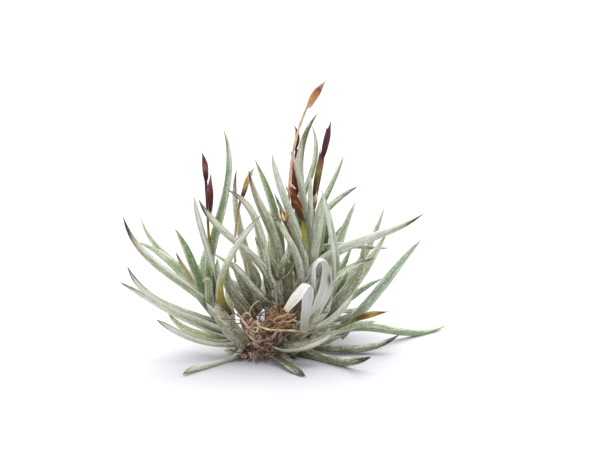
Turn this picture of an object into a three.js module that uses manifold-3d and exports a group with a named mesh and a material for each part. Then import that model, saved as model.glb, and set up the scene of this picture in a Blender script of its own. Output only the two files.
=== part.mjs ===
// A clump of air plants that grew together from one rootstock, as it lies on a table.
// Origin on the table under the rootstock, +X to the right, +Y away from the viewer, +Z up, in millimetres.
import * as THREE from "three";
import Module from "manifold-3d";
import { mergeVertices } from "three/addons/utils/BufferGeometryUtils.js";

const wasm = await Module();
wasm.setup();

// Driving dimensions
const GAP = 0.3; // between pieces that touch
const CREASE = 0.06; // the finest relief that a fused body keeps
const STEM_RADIUS = 2.5; // over the leaf sheaths that clasp it
const BARE_STEM = 0.66; // share of that radius below the lowest leaf
const SHEATH_SWELL = 0.12; // how much wider a leaf is where it clasps its stem
const SHEATH_REACH = 0.1; // share of the leaf's length
const STEM_TAPER = 0.35; // how much slimmer a stem is at its top
const LEAF_TAPER = { even: 0.22, late: 0.72, power: 3.4 }; // lost along a leaf, most of it near the tip
const LEAF_POINT = 0.16; // half width of a leaf's tip
const LEAF_ROUND = { from: 0.35, over: 0.55 }; // where a leaf's channel closes and its section turns round
const CHANNEL = { rim: 0.3, keel: 0.75, floor: 0.15 }; // a leaf's section at its foot, in half widths
const DEPTH_BEND = 1.3; // how late along its reach a leaf takes on its depth
const BLEACHED_TAPER = { late: 0.72, power: 3 };
const STALK_RADIUS = 0.42;
const POD_POINT = 0.15;
const POD_SWELL = { start: 0.08, skew: 0.85, fullness: 0.8 };
const ROOT_RADIUS = 0.34;
const ROOT_TAPER = { foot: 1.2, lost: 0.5 };
const ROOTSTOCK = { centre: [0, 0.5, 1.2], radii: [7.2, 5.6, 4.2], bumps: 0.06 };
const LOWEST = 0.5; // height of a leaf's middle where it lies on the table

// How a leaf that faces away may differ from its neighbours: a least value and the range of its draw
const REAR_TURN = 0.2;
const REAR_CLIMB = 0.3;
const REAR_LENGTH = [0.85, 0.3];
const REAR_ARCH = [-0.02, 0.1];
const REAR_WIDTH = [3, 0.6];
const REAR_SHARES = [0.36, 0.7, 1]; // of its length, where its curve passes
const REAR_STEP = 7; // between the places of two of them up the stem
const LEAF_SEED = 14;
const ROOT_SEED = 5;

// How finely each body is divided
const RING_SPACING = 5.5; // along a leaf
const LEAF_RINGS = { fewest: 3, most: 7 };
const TUBE_RINGS = 5;
const STEM_SIDES = 6;
const STALK_SIDES = 4;
const POD_SIDES = 5;
const ROOT_SIDES = 3;
const BLEACHED_RINGS = 13;
const TUBE_FACE = [0.3, -1, 0.2]; // the way a tube's first side looks

// Parting of leaves that would cross: they lean along the line of sight, 14 degrees downwards
const SIGHT_PITCH = (14 * Math.PI) / 180;
const SIGHT = new THREE.Vector3(0, Math.cos(SIGHT_PITCH), -Math.sin(SIGHT_PITCH));
const PARTING_ROUNDS = 90;
const PARTING_STEP = 0.6; // share of a push that one round takes up
const PARTING_HOLD = 0.995; // share of its lean that a leaf keeps from round to round
const PARTING_SAMPLES = 24;
const PARTING_REACH = 0.38; // share of a leaf's width that it keeps clear to each side
const HELD_SHARE = 0.25; // of its length, where its stem holds a leaf
const MOST_LEAN = 10;

// The leafy stems. A leaf's row holds two points that it passes and its tip, each as [x, z],
// then the tip's depth and the leaf's width. Rows run from the oldest leaf to the youngest.
// bare is the share of the stem below its lowest leaf. rear says how many more leaves face away,
// their heading as [x, y], their fan in degrees, how steeply they rise and their length.
const ROSETTES = {
  rosette_left: {
    stem: [[-4, -1.5, 2.5], [-10.5, -3, 7.5], [-14.5, -5, 17.5]],
    bare: 0.1,
    color: 0x9aa890,
    leaves: [
      [[-9, 0.8], [-16, 0.7], [-22, 0.5], -19, 3.6],
      [[-15, 5], [-22.5, 8.5], [-29.5, 14], -12, 3.7],
      [[-17, 5], [-22.5, 6.5], [-28, 11], 5, 3.4],
      [[-18, 9.5], [-28.5, 15.5], [-40, 23], -6, 3.2],
      [[-17.5, 12], [-29, 18.5], [-37, 29.5], -13, 3.7],
      [[-20, 20.5], [-30, 29], [-38, 43], -11, 3.7],
      [[-19.5, 19.5], [-26.5, 27], [-36.5, 32.5], 3, 3.2],
      [[-21, 22.5], [-29, 28.5], [-35.5, 37.5], 10, 2.9],
      [[-18.5, 19.5], [-21.5, 23.5], [-25, 29.5], 2, 2.9],
      [[-12.5, 20.5], [-9.5, 30.5], [-0.5, 43.5], -12, 3.4],
      [[-17, 21], [-17.5, 25.5], [-16.5, 30.5], 7, 3.2],
      [[-14.5, 27.5], [-17, 37], [-19, 47.5], -6, 3.4],
      [[-18, 22.5], [-20.5, 29.5], [-24.5, 38], -5, 3.4],
      [[-13.5, 21], [-13, 25], [-13, 28.5], 0, 2.9],
      [[-13.5, 35.5], [-10, 50.5], [-11, 64.5], 2, 3.4],
      [[-15, 17], [-15.5, 20], [-17, 24], -9, 2.9],
    ],
    rear: { count: 3, heading: [-0.1, 1], fan: 44, rise: 0.42, length: 26 },
  },
  rosette_mid_left: {
    stem: [[-2.5, 3, 2.5], [-4, 6, 8.5], [-4, 8, 14.5]],
    bare: 0.25,
    color: 0x8d9a84,
    leaves: [
      [[-7.5, 15], [-10, 20], [-9.5, 28], 1, 4],
      [[-5, 16.5], [-7, 21.5], [-9, 26], 4, 3.7],
      [[-4.5, 23], [-7.5, 36.5], [-8, 51.5], 10, 2.9],
      [[-2.5, 21], [-4.5, 24.5], [-7, 30], 9, 3.2],
    ],
    rear: { count: 3, heading: [-0.05, 1], fan: 60, rise: 0.5, length: 25 },
  },
  rosette_middle: {
    stem: [[0.5, 1.5, 3.5], [2, 2, 12], [3.5, 2, 22.5]],
    bare: 0.55,
    color: 0x97a38f,
    leaves: [
      [[-2, 18.5], [-5, 23], [-9.5, 28.5], -3, 3.7],
      [[-2, 28], [-9, 35.5], [-17.5, 47], -8, 3.4],
      [[-0.5, 34], [-3, 43], [-9.5, 50], -9, 3.4],
      [[1.5, 27.5], [-0.5, 32.5], [-2, 38.5], 3, 3.2],
      [[2, 27], [0, 30.5], [-2.5, 35], -2, 3.2],
      [[2.5, 35], [-1, 44], [-4, 54.5], -4, 3.4],
      [[3.5, 38], [1, 47], [-2.5, 55.5], 5, 3.2],
      [[7, 24], [8.5, 29.5], [7.5, 35.5], 7, 3.2],
      [[5.5, 27], [7, 31], [6.5, 35], -4, 2.6],
    ],
    rear: { count: 3, heading: [0, 1], fan: 50, rise: 0.75, length: 28 },
  },
  rosette_tall: {
    stem: [[3.5, 3.5, 2.5], [9, 4, 11], [12.5, 4, 23]],
    bare: 0.6,
    color: 0xa2ae9a,
    leaves: [
      [[20, 30], [32, 36.3], [43.5, 43.3], -9, 3.6],
      [[20, 31], [27.5, 30.5], [35, 30], 5, 2.6],
      [[9, 29.5], [6, 37], [2, 43], -8, 3.2],
      [[9, 37], [5.3, 48.5], [2.5, 60], -9, 4],
      [[8.5, 35], [5.5, 41.5], [3, 47.5], -2, 2.5],
      [[15.5, 38], [21, 44], [26.5, 47.5], 7, 3.4],
      [[15, 39], [19, 47], [22.5, 55], 13, 3],
      [[10.6, 46], [10.6, 58.4], [15, 68], 9, 4],
      [[11.5, 45.5], [14.5, 55], [13.5, 63.5], 15, 2.9],
      [[12, 38], [10.5, 49], [7.5, 59], 1, 3.7],
      [[15.5, 31], [16.5, 38], [17, 45.5], 2, 3.2],
      [[13.5, 30], [15, 39], [16.5, 48.5], -6, 4],
      [[13, 33.5], [13, 43.5], [13, 53.5], -4, 2.6],
    ],
    rear: { count: 5, heading: [0.15, 1], fan: 80, rise: 0.85, length: 28 },
  },
  rosette_right: {
    stem: [[5, 0, 3.5], [11, -1, 7], [17, -3, 14.5]],
    bare: 0.35,
    color: 0xb3b09a,
    leaves: [
      [[19.5, 12.5], [23, 17], [25, 20.5], -8, 3.7],
      [[22, 18], [26.5, 25.5], [27.5, 33.5], -3, 4.5],
      [[23.5, 18.5], [29.5, 26.5], [34.5, 34.5], 4, 4],
      [[20, 24], [25, 28], [30.5, 30.5], -8, 3.2],
      [[18.5, 17], [21.5, 21], [23.5, 24.5], 0, 3.4],
      [[20, 21], [22.5, 26], [25, 30.5], 5, 2.6],
      [[20, 25], [19, 37], [16, 49.5], -7, 3.7],
    ],
    rear: { count: 2, heading: [0.5, 1], fan: 40, rise: 0.6, length: 22 },
  },
  rosette_low_right: {
    stem: [[5, -3, 1.5], [12.5, 0, 3.5], [20.5, 4, 5.5]],
    bare: 0.1,
    color: 0x84967c,
    leaves: [
      [[7.2, 0.9], [9.4, 0.8], [11.5, 0.5], -20, 3.4],
      [[12.5, 1], [21.5, 0.6], [29.5, 4], -18, 3.7],
      [[21, 1.5], [30.5, 2], [38.5, 5.5], 1, 3.4],
      [[13.5, 3.5], [16, 5.5], [19, 8.5], -9, 4.2],
      [[28, 5.8], [40, 2.2], [54, 1.2], 23, 3.4],
      [[24, 7], [28, 8], [32, 8.5], 4, 2.4],
      [[23, 10.5], [25, 10.5], [26.5, 11], 9, 2.9],
      [[29, 13], [37, 22], [45, 30.5], 12, 3.7],
    ],
    rear: { count: 2, heading: [0.5, 1], fan: 50, rise: 0.15, length: 24 },
  },
  rosette_back_right: {
    stem: [[5.5, 6.5, 4.5], [11, 12.5, 8], [16, 18, 14.5]],
    bare: 0.3,
    color: 0x8fa088,
    leaves: [
      [[23.5, 12], [29, 15.5], [34.5, 18], 16, 3.2],
      [[28.5, 9], [35, 15], [41, 21], 20, 2.6],
      [[25, 19], [30.5, 28.5], [34.5, 39], 16, 2.9],
      [[20.5, 24], [23.5, 32.5], [26, 37.5], 22, 2.6],
      [[20, 25.5], [23, 33], [26, 40.5], 17, 2.9],
      [[17, 23.5], [19.5, 29.5], [22, 34.5], 13, 2.6],
    ],
    rear: { count: 6, heading: [0.25, 1], fan: 130, rise: 0.35, length: 26 },
  },
  rosette_back: {
    stem: [[0.5, 7, 3.5], [1.5, 13.5, 8], [3, 20.5, 12.5]],
    bare: 0.3,
    color: 0x8c9c85,
    leaves: [],
    rear: { count: 9, heading: [0.1, 1], fan: 150, rise: 0.4, length: 25 },
  },
  rosette_under: {
    stem: [[0, 3, 2.2], [-0.5, 7, 2.6], [-0.5, 9, 3]],
    bare: 0.2,
    color: 0x869377,
    leaves: [],
    rear: { count: 5, heading: [-0.1, 1], fan: 120, rise: -0.09, length: 26 },
  },
};

// The dried flower spikes. A path is its foot, two points that it passes and its end.
// A pod is a spindle that swells to its radius halfway.
const SPIKES = {
  spike_left: {
    color: 0x5a2c2c,
    stalk: [[-14, -5, 20], [-15.2, -2.6, 32], [-15.7, -2, 43], [-16, -2.5, 52]],
    pods: [
      { path: [[-15.5, -2.2, 40.5], [-15, -2.6, 45], [-14.8, -2.8, 49], [-14.4, -3, 53.8]], radius: 1.15 },
      { path: [[-16, -2.5, 51], [-16, -2.5, 53.5], [-16.2, -2.6, 56.2], [-17, -3, 59.6]], radius: 1 },
    ],
  },
  spike_ochre: {
    color: 0xb08348,
    stalk: [[-8.5, 8, 25], [-8.5, 7, 32], [-7.8, 6, 38.5], [-6.6, 6, 44.5]],
    pods: [{ path: [[-6.7, 6, 43.5], [-5.5, 6, 47], [-4.2, 6, 51], [-2, 6, 53.6]], radius: 0.95 }],
  },
  spike_tall: {
    color: 0xb9753f,
    stalk: [[7.4, 3, 27], [7, 1, 45], [8.8, -1, 62], [12.2, -1, 72]],
    pods: [
      { path: [[12, -1, 71.3], [13.3, -1, 73.8], [15, -1, 76.4], [17.2, -1, 79]], radius: 1.15 },
    ],
  },
  spike_behind: {
    color: 0x6d3328,
    stalk: [[8.6, 4.5, 28], [8, 4.2, 40], [8, 3.6, 50], [9.2, 3, 59]],
    pods: [
      { path: [[8, 4, 44], [8.9, 3.6, 48.5], [8.6, 3.2, 53], [7.6, 2.8, 57.8]], radius: 1.25 },
      { path: [[9, 3, 57.5], [9.6, 2.8, 60], [9.7, 2.6, 62.8], [8.8, 2.4, 66]], radius: 0.95 },
    ],
  },
  spike_red: {
    color: 0x8a4630,
    stalk: [[12.5, 2, 27], [12.3, 0, 30], [12, -1.4, 33], [11.4, -2.2, 37]],
    pods: [{ path: [[11.7, -2, 35], [10.7, -3, 41.5], [9.2, -3.6, 46.5], [7, -4, 50.6]], radius: 1.5 }],
  },
  spike_dark: {
    color: 0x5d2f38,
    stalk: [[13.3, 4, 27], [13.6, 4, 35], [13.9, 3.4, 41], [14.3, 3, 48]],
    pods: [
      { path: [[14.1, 3, 44], [15, 3, 51.5], [16.2, 2.4, 56], [16.8, 2, 60.5]], radius: 1.1 },
      { path: [[16.6, 2, 58.5], [17.2, 2, 61], [18, 2, 64], [18.8, 2, 67.4]], radius: 1.1 },
    ],
  },
  spike_spent: {
    color: 0x6f5638,
    stalk: [[10.5, 1, 27], [8.8, -3, 32.5], [7.3, -5, 37], [5.4, -6, 41]],
    pods: [
      { path: [[5.8, -5.8, 40.2], [5, -6, 42], [4.6, -6.2, 43.4], [4.4, -6.4, 45]], radius: 0.8 },
      { path: [[5.9, -5.7, 40], [4.8, -6.4, 40.8], [3.8, -6.8, 41.4], [2.8, -7, 41.6]], radius: 0.7 },
      { path: [[5.6, -5.9, 40.6], [6.2, -6.4, 42], [6.6, -6.6, 43.2], [6.2, -6.8, 44.4]], radius: 0.6 },
    ],
  },
  spike_low: {
    color: 0x8b8a35,
    stalk: [[19.5, 3.2, 5.6], [21, 2, 7.2], [23, 1, 8.4], [25.5, 0, 9.8]],
    pods: [{ path: [[24.6, 0.2, 9.3], [28, 0, 11.2], [31.5, -0.4, 12.2], [35.3, -1, 13]], radius: 1.25 }],
  },
};

// Two leaves that dried white, each bent over like a hook
const BLEACHED = {
  bleached_leaf_front: {
    path: [
      [13, -3.5, 6.5], [13.8, -6, 13], [13.4, -9.4, 19.4], [11.2, -12, 22.8],
      [8.4, -14, 20.9], [5.6, -15.2, 16.8],
    ],
    width: 4.6,
  },
  bleached_leaf_rear: {
    path: [
      [14.8, -3, 8.5], [16.8, -6, 17], [18.3, -8.8, 25], [17.4, -11.4, 30.4],
      [14.6, -12.8, 31.8], [13, -12.7, 27.6], [14.4, -11, 20],
    ],
    width: 3.7,
  },
};
const BLEACHED_FACE = [-1, -0.6, 0]; // the way the inner face of a bleached leaf looks at its foot

// The roots that show one by one, then the core and the ball that the finer ones wind round.
// The first two come out of the rootstock and carry the rest.
const ROOTS = [
  [[2, -3, 2.4], [2.7, -4.9, 4.8], [3.2, -5.6, 6.8], [3.4, -5.2, 8.8]],
  [[0, -3.4, 2.6], [0.3, -5.4, 5], [1.5, -5.9, 7.2], [3, -5.4, 8.6]],
  [[3.5, -5.4, 8.6], [4, -8.6, 9.6], [9, -10, 10], [14.4, -8.5, 8.6]],
  [[1, -5, 8], [-3.4, -8, 11.6], [-4.4, -8.6, 16], [-0.5, -7.4, 18]],
  [[1, -5, 8.6], [-4, -8.4, 11.6], [-7.6, -10, 15.2], [-11.6, -10.4, 15.8]],
  [[1, -5, 7.6], [-4, -8.8, 7.4], [-5, -9.6, 10.6], [-1.5, -8.4, 12.2]],
  [[2, -5, 7.6], [-1.8, -8.6, 4.6], [2.4, -9, 4], [5.4, -7.6, 6]],
  [[1.4, -5.4, 8.8], [-5, -8.4, 12.4], [-9.4, -10, 13.2], [-11.2, -10, 15]],
  [[5, -5.2, 8.6], [8.4, -7.4, 9.6], [10, -7.2, 13], [6, -5, 16.2]],
];
const ROOT_CORE = { centre: [3.4, -5.2, 8.6], radii: [4, 1.5, 2.2] };
const ROOT_BALL = { centre: [1.6, -5.6, 12.2], radii: [8.2, 3.8, 4.8], count: 11 };

// Colours of the leaves are with their stems, and the rest are here
const COLORS = { rootstock: 0x4a352b, bleached: 0xe4e2d6, roots: 0xa56b42 };

// Seeded draws, so that the clump is the same each time
function draws(seed) {
  let state = seed;
  return function draw() {
    state = (state + 0x6d2b79f5) | 0;
    let mixed = Math.imul(state ^ (state >>> 15), state | 1);
    mixed ^= mixed + Math.imul(mixed ^ (mixed >>> 7), mixed | 61);
    return ((mixed ^ (mixed >>> 14)) >>> 0) / 2 ** 32;
  };
}

const vector = (values) => new THREE.Vector3(...values);

// A cubic curve through four points, which meets the inner two at their share of the way
function curveThrough(points) {
  const [foot, a, b, tip] = points.map(vector);
  const steps = [foot.distanceTo(a), a.distanceTo(b), b.distanceTo(tip)];
  const whole = steps[0] + steps[1] + steps[2];
  const shareA = steps[0] / whole;
  const shareB = (steps[0] + steps[1]) / whole;
  const near = (t) => 3 * t * (1 - t) ** 2;
  const far = (t) => 3 * t ** 2 * (1 - t);
  const restA = a.addScaledVector(foot, -((1 - shareA) ** 3)).addScaledVector(tip, -(shareA ** 3));
  const restB = b.addScaledVector(foot, -((1 - shareB) ** 3)).addScaledVector(tip, -(shareB ** 3));
  const scale = 1 / (near(shareA) * far(shareB) - near(shareB) * far(shareA));
  const handleA = new THREE.Vector3();
  handleA.addScaledVector(restA, far(shareB) * scale).addScaledVector(restB, -far(shareA) * scale);
  const handleB = new THREE.Vector3();
  handleB.addScaledVector(restB, near(shareA) * scale).addScaledVector(restA, -near(shareB) * scale);
  return new THREE.CubicBezierCurve3(foot, handleA, handleB, tip);
}

// The same curve with its far end pushed along the line of sight
function leaned(curve, lean) {
  const moved = (point, share) => point.clone().addScaledVector(SIGHT, lean * share);
  return new THREE.CubicBezierCurve3(
    curve.v0, moved(curve.v1, 1 / 3), moved(curve.v2, 2 / 3), moved(curve.v3, 1),
  );
}

// Frames along a curve that don't twist: each has a point, a side and the way its inner face looks
function framesAlong(curve, count, inner) {
  let face = inner;
  return Array.from({ length: count + 1 }, (_, i) => {
    const t = i / count;
    const direction = curve.getTangent(t);
    face = face.clone().addScaledVector(direction, -face.dot(direction)).normalize();
    return { t, point: curve.getPoint(t), side: direction.clone().cross(face), face };
  });
}

function bodyOf(vertices, triangles) {
  return new wasm.Manifold(
    new wasm.Mesh({
      numProp: 3,
      vertProperties: new Float32Array(vertices),
      triVerts: new Uint32Array(triangles),
    }),
  );
}

// A closed body through rings of points with flat ends. A section lists its points as [side, face].
// grow swells it evenly, for the room that its neighbours leave.
function sweptBody(frames, sectionAt, grow) {
  const rings = frames.map(({ t, point, side, face }) =>
    sectionAt(t).map(([across, through]) => {
      const swell = 1 + grow / Math.hypot(across, through);
      return point.clone().addScaledVector(side, across * swell).addScaledVector(face, through * swell);
    }),
  );
  const sides = rings[0].length;
  const last = (rings.length - 1) * sides;
  const triangles = [];
  for (let from = 0; from < last; from += sides) {
    for (let s = 0; s < sides; s++) {
      const a = from + s;
      const b = from + ((s + 1) % sides);
      triangles.push(a, b, b + sides, a, b + sides, a + sides);
    }
  }
  for (let s = 1; s + 1 < sides; s++) {
    triangles.push(0, s + 1, s, last, last + s, last + s + 1);
  }
  return bodyOf(rings.flat().flatMap((point) => point.toArray()), triangles);
}

// A closed tube along a curve
function tubeBody(curve, sides, radiusAt, grow) {
  const circle = (t) =>
    Array.from({ length: sides }, (_, s) => {
      const angle = (-2 * Math.PI * s) / sides;
      return [radiusAt(t) * Math.cos(angle), radiusAt(t) * Math.sin(angle)];
    });
  return sweptBody(framesAlong(curve, TUBE_RINGS, vector(TUBE_FACE)), circle, grow);
}

// A ball of triangles, stretched to its radii, with its surface raised by a formula
function ballBody({ centre, radii, bumps = 0 }, detail, grow) {
  const ball = new THREE.IcosahedronGeometry(1, detail);
  ball.deleteAttribute("normal");
  ball.deleteAttribute("uv");
  const merged = mergeVertices(ball, 1e-4);
  const position = merged.getAttribute("position");
  for (let i = 0; i < position.count; i++) {
    const p = new THREE.Vector3().fromBufferAttribute(position, i);
    const wave = Math.sin(7 * p.x + 3 * p.z) * Math.cos(6 * p.y) + Math.sin(11 * p.z + 5 * p.y);
    p.multiplyScalar(1 + bumps * wave).multiply(vector(radii.map((radius) => radius + grow)));
    position.setXYZ(i, ...p.add(vector(centre)));
  }
  return bodyOf(position.array, merged.index.array);
}

// A leaf's half width along its length, as a share of its widest
function leafTaper(t) {
  const lost = LEAF_TAPER.even * t + LEAF_TAPER.late * t ** LEAF_TAPER.power;
  return 1 - lost + SHEATH_SWELL * Math.exp(-((t / SHEATH_REACH) ** 2));
}

// A leaf's section: a channel on the inner face and a keel on the outer, rounder towards the tip
function leafSection(half, t) {
  const round = THREE.MathUtils.clamp((t - LEAF_ROUND.from) / LEAF_ROUND.over, 0, 1);
  const rim = half * CHANNEL.rim * (1 - round);
  return [
    [half, rim],
    [0, -half * THREE.MathUtils.lerp(CHANNEL.keel, 1, round)],
    [-half, rim],
    [0, half * THREE.MathUtils.lerp(CHANNEL.floor, 1, round)],
  ];
}

function leafBody(leaf, grow) {
  const curve = leaned(leaf.curve, leaf.lean);
  const wanted = Math.round(curve.getLength() / RING_SPACING);
  const count = THREE.MathUtils.clamp(wanted, LEAF_RINGS.fewest, LEAF_RINGS.most);
  const section = (t) => leafSection(Math.max(LEAF_POINT, (leaf.width / 2) * leafTaper(t)), t);
  return sweptBody(framesAlong(curve, count, leaf.inner), section, grow);
}

// A leaf starts inside its stem, and its inner face looks up along it
function leafFrom(foot, rise, points, width) {
  const out = vector(points[1]).sub(foot).normalize();
  const inner = rise.clone().multiplyScalar(2).sub(out);
  return { curve: curveThrough([foot.toArray(), ...points]), inner, width, lean: 0 };
}

// A leaf of a row, which takes on its depth as it reaches out
function listedLeaf([a, b, tip, depth, width], foot, rise) {
  const reach = ([x, z]) => Math.hypot(x - foot.x, z - foot.z);
  const points = [a, b, tip].map(([x, z]) => {
    const share = Math.min(1, reach([x, z]) / reach(tip)) ** DEPTH_BEND;
    return [x, foot.y + (depth - foot.y) * share, z];
  });
  return leafFrom(foot, rise, points, width);
}

// A leaf that faces away, at its place in the fan
function rearLeaf(rear, order, foot, rise, draw) {
  const between = ([least, range]) => least + range * draw();
  const fan = THREE.MathUtils.degToRad(rear.fan) * ((order + 0.5) / rear.count - 0.5);
  const angle = Math.atan2(rear.heading[1], rear.heading[0]) + fan + REAR_TURN * (draw() - 0.5);
  const climb = rear.rise + REAR_CLIMB * (draw() - 0.5);
  const length = rear.length * between(REAR_LENGTH);
  const arch = length * between(REAR_ARCH);
  const way = new THREE.Vector3(Math.cos(angle), Math.sin(angle), climb).normalize();
  const points = REAR_SHARES.map((share) => {
    const point = foot.clone().addScaledVector(way, length * share);
    const height = Math.max(LOWEST, point.z + (share < 1 ? arch : -arch));
    return [point.x, point.y, height];
  });
  return leafFrom(foot, rise, points, between(REAR_WIDTH));
}

// A leafy stem with all its leaves, before they are parted
function rosetteOf(name, { stem, bare, color, leaves, rear }, draw) {
  const axis = new THREE.QuadraticBezierCurve3(...stem.map(vector));
  const share = (order, count) => bare + (1 - bare) * (order / Math.max(1, count - 1));
  const listed = leaves.map((row, i) => {
    const at = share(i, leaves.length);
    return listedLeaf(row, axis.getPoint(at), axis.getTangent(at));
  });
  const all = leaves.length + rear.count;
  const facingAway = Array.from({ length: rear.count }, (_, i) => {
    const at = share((i * REAR_STEP) % all, all);
    return rearLeaf(rear, i, axis.getPoint(at), axis.getTangent(at), draw);
  });
  const grown = [...listed, ...facingAway].map((leaf) => ({ ...leaf, stem: name }));
  return { name, color, axis, bare, leaves: grown };
}

// How far two leaves at two of their points must move apart along the line of sight
function crossing(offset, clear) {
  const along = offset.dot(SIGHT);
  const aside = offset.lengthSq() - along ** 2;
  if (aside > clear ** 2) return 0;
  const need = Math.sqrt(clear ** 2 - aside) - Math.abs(along);
  return need > 0 ? need * (along < 0 ? -1 : 1) : 0;
}

// The pushes that two leaves give each other wherever they are too close
function pushBetween(a, b, notePush) {
  const clear = PARTING_REACH * (a.width + b.width) + GAP;
  const offset = new THREE.Vector3();
  for (let i = 1; i <= PARTING_SAMPLES; i++) {
    for (let j = 1; j <= PARTING_SAMPLES; j++) {
      const [shareA, shareB] = [i / PARTING_SAMPLES, j / PARTING_SAMPLES];
      const held = shareA < HELD_SHARE && shareB < HELD_SHARE;
      if (held || Math.abs(b.samples[j].x - a.samples[i].x) > clear) continue;
      offset.subVectors(b.samples[j], a.samples[i]);
      offset.addScaledVector(SIGHT, b.lean * shareB - a.lean * shareA);
      const need = crossing(offset, clear);
      notePush(a, (-need * shareA) / (shareA + shareB));
      notePush(b, (need * shareB) / (shareA + shareB));
    }
  }
}

// One round in which every two leaves of different stems push each other
function pushApart(leaves) {
  const notePush = (leaf, push) => {
    leaf.nearer = Math.min(leaf.nearer, push);
    leaf.farther = Math.max(leaf.farther, push);
  };
  leaves.forEach((a, i) => {
    const others = leaves.slice(i + 1).filter((b) => b.stem !== a.stem);
    others.forEach((b) => pushBetween(a, b, notePush));
  });
}

// Leaves of different stems that would cross lean apart, and keep their outline as it is seen
function partLeaves(leaves) {
  for (const leaf of leaves) leaf.samples = leaf.curve.getPoints(PARTING_SAMPLES);
  for (let round = 0; round < PARTING_ROUNDS; round++) {
    for (const leaf of leaves) Object.assign(leaf, { nearer: 0, farther: 0 });
    pushApart(leaves);
    for (const leaf of leaves) {
      const lean = PARTING_HOLD * leaf.lean + PARTING_STEP * (leaf.nearer + leaf.farther);
      leaf.lean = THREE.MathUtils.clamp(lean, -MOST_LEAN, MOST_LEAN);
    }
  }
}

// The stem under its sheaths, with the leaves rooted in it
function rosetteBody({ axis, bare, leaves }, grow) {
  const radiusAt = (t) => STEM_RADIUS * (t < bare ? BARE_STEM : 1 - STEM_TAPER * t ** 3);
  const stem = tubeBody(axis, STEM_SIDES, radiusAt, grow);
  return wasm.Manifold.union([stem, ...leaves.map((leaf) => leafBody(leaf, grow))]);
}

// A pod is blunt at its foot, widest before the middle and pointed
function podRadius(radius, t) {
  const share = Math.min(1, POD_SWELL.start + (1 - POD_SWELL.start) * t ** POD_SWELL.skew);
  const swell = Math.max(0, Math.sin(Math.PI * share));
  return Math.max(POD_POINT, radius * swell ** POD_SWELL.fullness);
}

function spikeBody({ stalk, pods }, grow) {
  const stem = tubeBody(curveThrough(stalk), STALK_SIDES, () => STALK_RADIUS, grow);
  const spindles = pods.map(({ path, radius }) =>
    tubeBody(curveThrough(path), POD_SIDES, (t) => podRadius(radius, t), grow),
  );
  return wasm.Manifold.union([stem, ...spindles]);
}

function bleachedBody({ path, width }, grow) {
  const curve = new THREE.CatmullRomCurve3(path.map(vector), false, "catmullrom", 0.5);
  const halfAt = (t) => (width / 2) * (1 - BLEACHED_TAPER.late * t ** BLEACHED_TAPER.power);
  const section = (t) => leafSection(halfAt(t), 0);
  return sweptBody(framesAlong(curve, BLEACHED_RINGS, vector(BLEACHED_FACE)), section, grow);
}

// A fine root starts in the core and winds part of the way round the ball
function fineRootPath(draw) {
  const foot = ROOT_CORE.centre.map((c, k) => c + ROOT_CORE.radii[k] * (draw() - 0.5));
  const start = 2 * Math.PI * draw();
  const sweep = Math.PI * (0.5 + 0.6 * draw()) * (draw() < 0.5 ? -1 : 1);
  const front = -0.9 + 1.2 * draw();
  const size = 0.6 + 0.45 * draw();
  const around = [0, 0.5, 1].map((share) => {
    const angle = start + sweep * share;
    const depth = front + 0.5 * share * (draw() - 0.5);
    const way = [Math.cos(angle), depth, Math.sin(angle)];
    return way.map((w, k) => ROOT_BALL.centre[k] + ROOT_BALL.radii[k] * size * w);
  });
  return [foot, ...around];
}

function rootsBody(grow) {
  const draw = draws(ROOT_SEED);
  const fine = Array.from({ length: ROOT_BALL.count }, () => fineRootPath(draw));
  const radiusAt = (t) => ROOT_RADIUS * (ROOT_TAPER.foot - ROOT_TAPER.lost * t);
  const rootAlong = (path) => tubeBody(curveThrough(path), ROOT_SIDES, radiusAt, grow);
  const roots = [...ROOTS, ...fine].map(rootAlong);
  return wasm.Manifold.union([ballBody(ROOT_CORE, 1, grow), ...roots]);
}

// The pieces in the order in which each makes room for those before it
function piecesOf(rosettes) {
  const rootstock = {
    name: "rootstock",
    color: COLORS.rootstock,
    make: (grow) => ballBody(ROOTSTOCK, 3, grow),
  };
  const leafy = rosettes.map((rosette) => ({
    ...rosette,
    make: (grow) => rosetteBody(rosette, grow),
  }));
  const spikes = Object.entries(SPIKES).map(([name, spike]) => ({
    name,
    color: spike.color,
    make: (grow) => spikeBody(spike, grow),
  }));
  const bleached = Object.entries(BLEACHED).map(([name, leaf]) => ({
    name,
    color: COLORS.bleached,
    make: (grow) => bleachedBody(leaf, grow),
  }));
  const roots = { name: "roots", color: COLORS.roots, make: rootsBody };
  return [rootstock, ...leafy, ...spikes, ...bleached, roots];
}

// One piece is cut off at the table and clear of its neighbours, and what that severs is dropped
function settledBody(piece, neighbours) {
  let body = piece.make(0).trimByPlane([0, 0, 1], 0);
  for (const neighbour of neighbours) body = body.subtract(neighbour);
  const parts = body.simplify(CREASE).decompose();
  return parts.reduce((most, part) => (part.volume() > most.volume() ? part : most));
}

function meshOf(name, color, body) {
  const { vertProperties, triVerts } = body.getMesh();
  const geometry = new THREE.BufferGeometry();
  geometry.setAttribute("position", new THREE.BufferAttribute(vertProperties, 3));
  geometry.setIndex(new THREE.BufferAttribute(triVerts, 1));
  geometry.computeVertexNormals();
  const material = new THREE.MeshStandardMaterial({ color, roughness: 0.85, metalness: 0 });
  const mesh = new THREE.Mesh(geometry, material);
  mesh.name = name;
  return mesh;
}

const leafDraw = draws(LEAF_SEED);
const rosettes = Object.entries(ROSETTES).map(([name, rosette]) =>
  rosetteOf(name, rosette, leafDraw),
);
partLeaves(rosettes.flatMap(({ leaves }) => leaves));

const clump = new THREE.Group();
const room = [];
for (const piece of piecesOf(rosettes)) {
  clump.add(meshOf(piece.name, piece.color, settledBody(piece, room)));
  room.push(piece.make(GAP));
}

export default clump;
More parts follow.
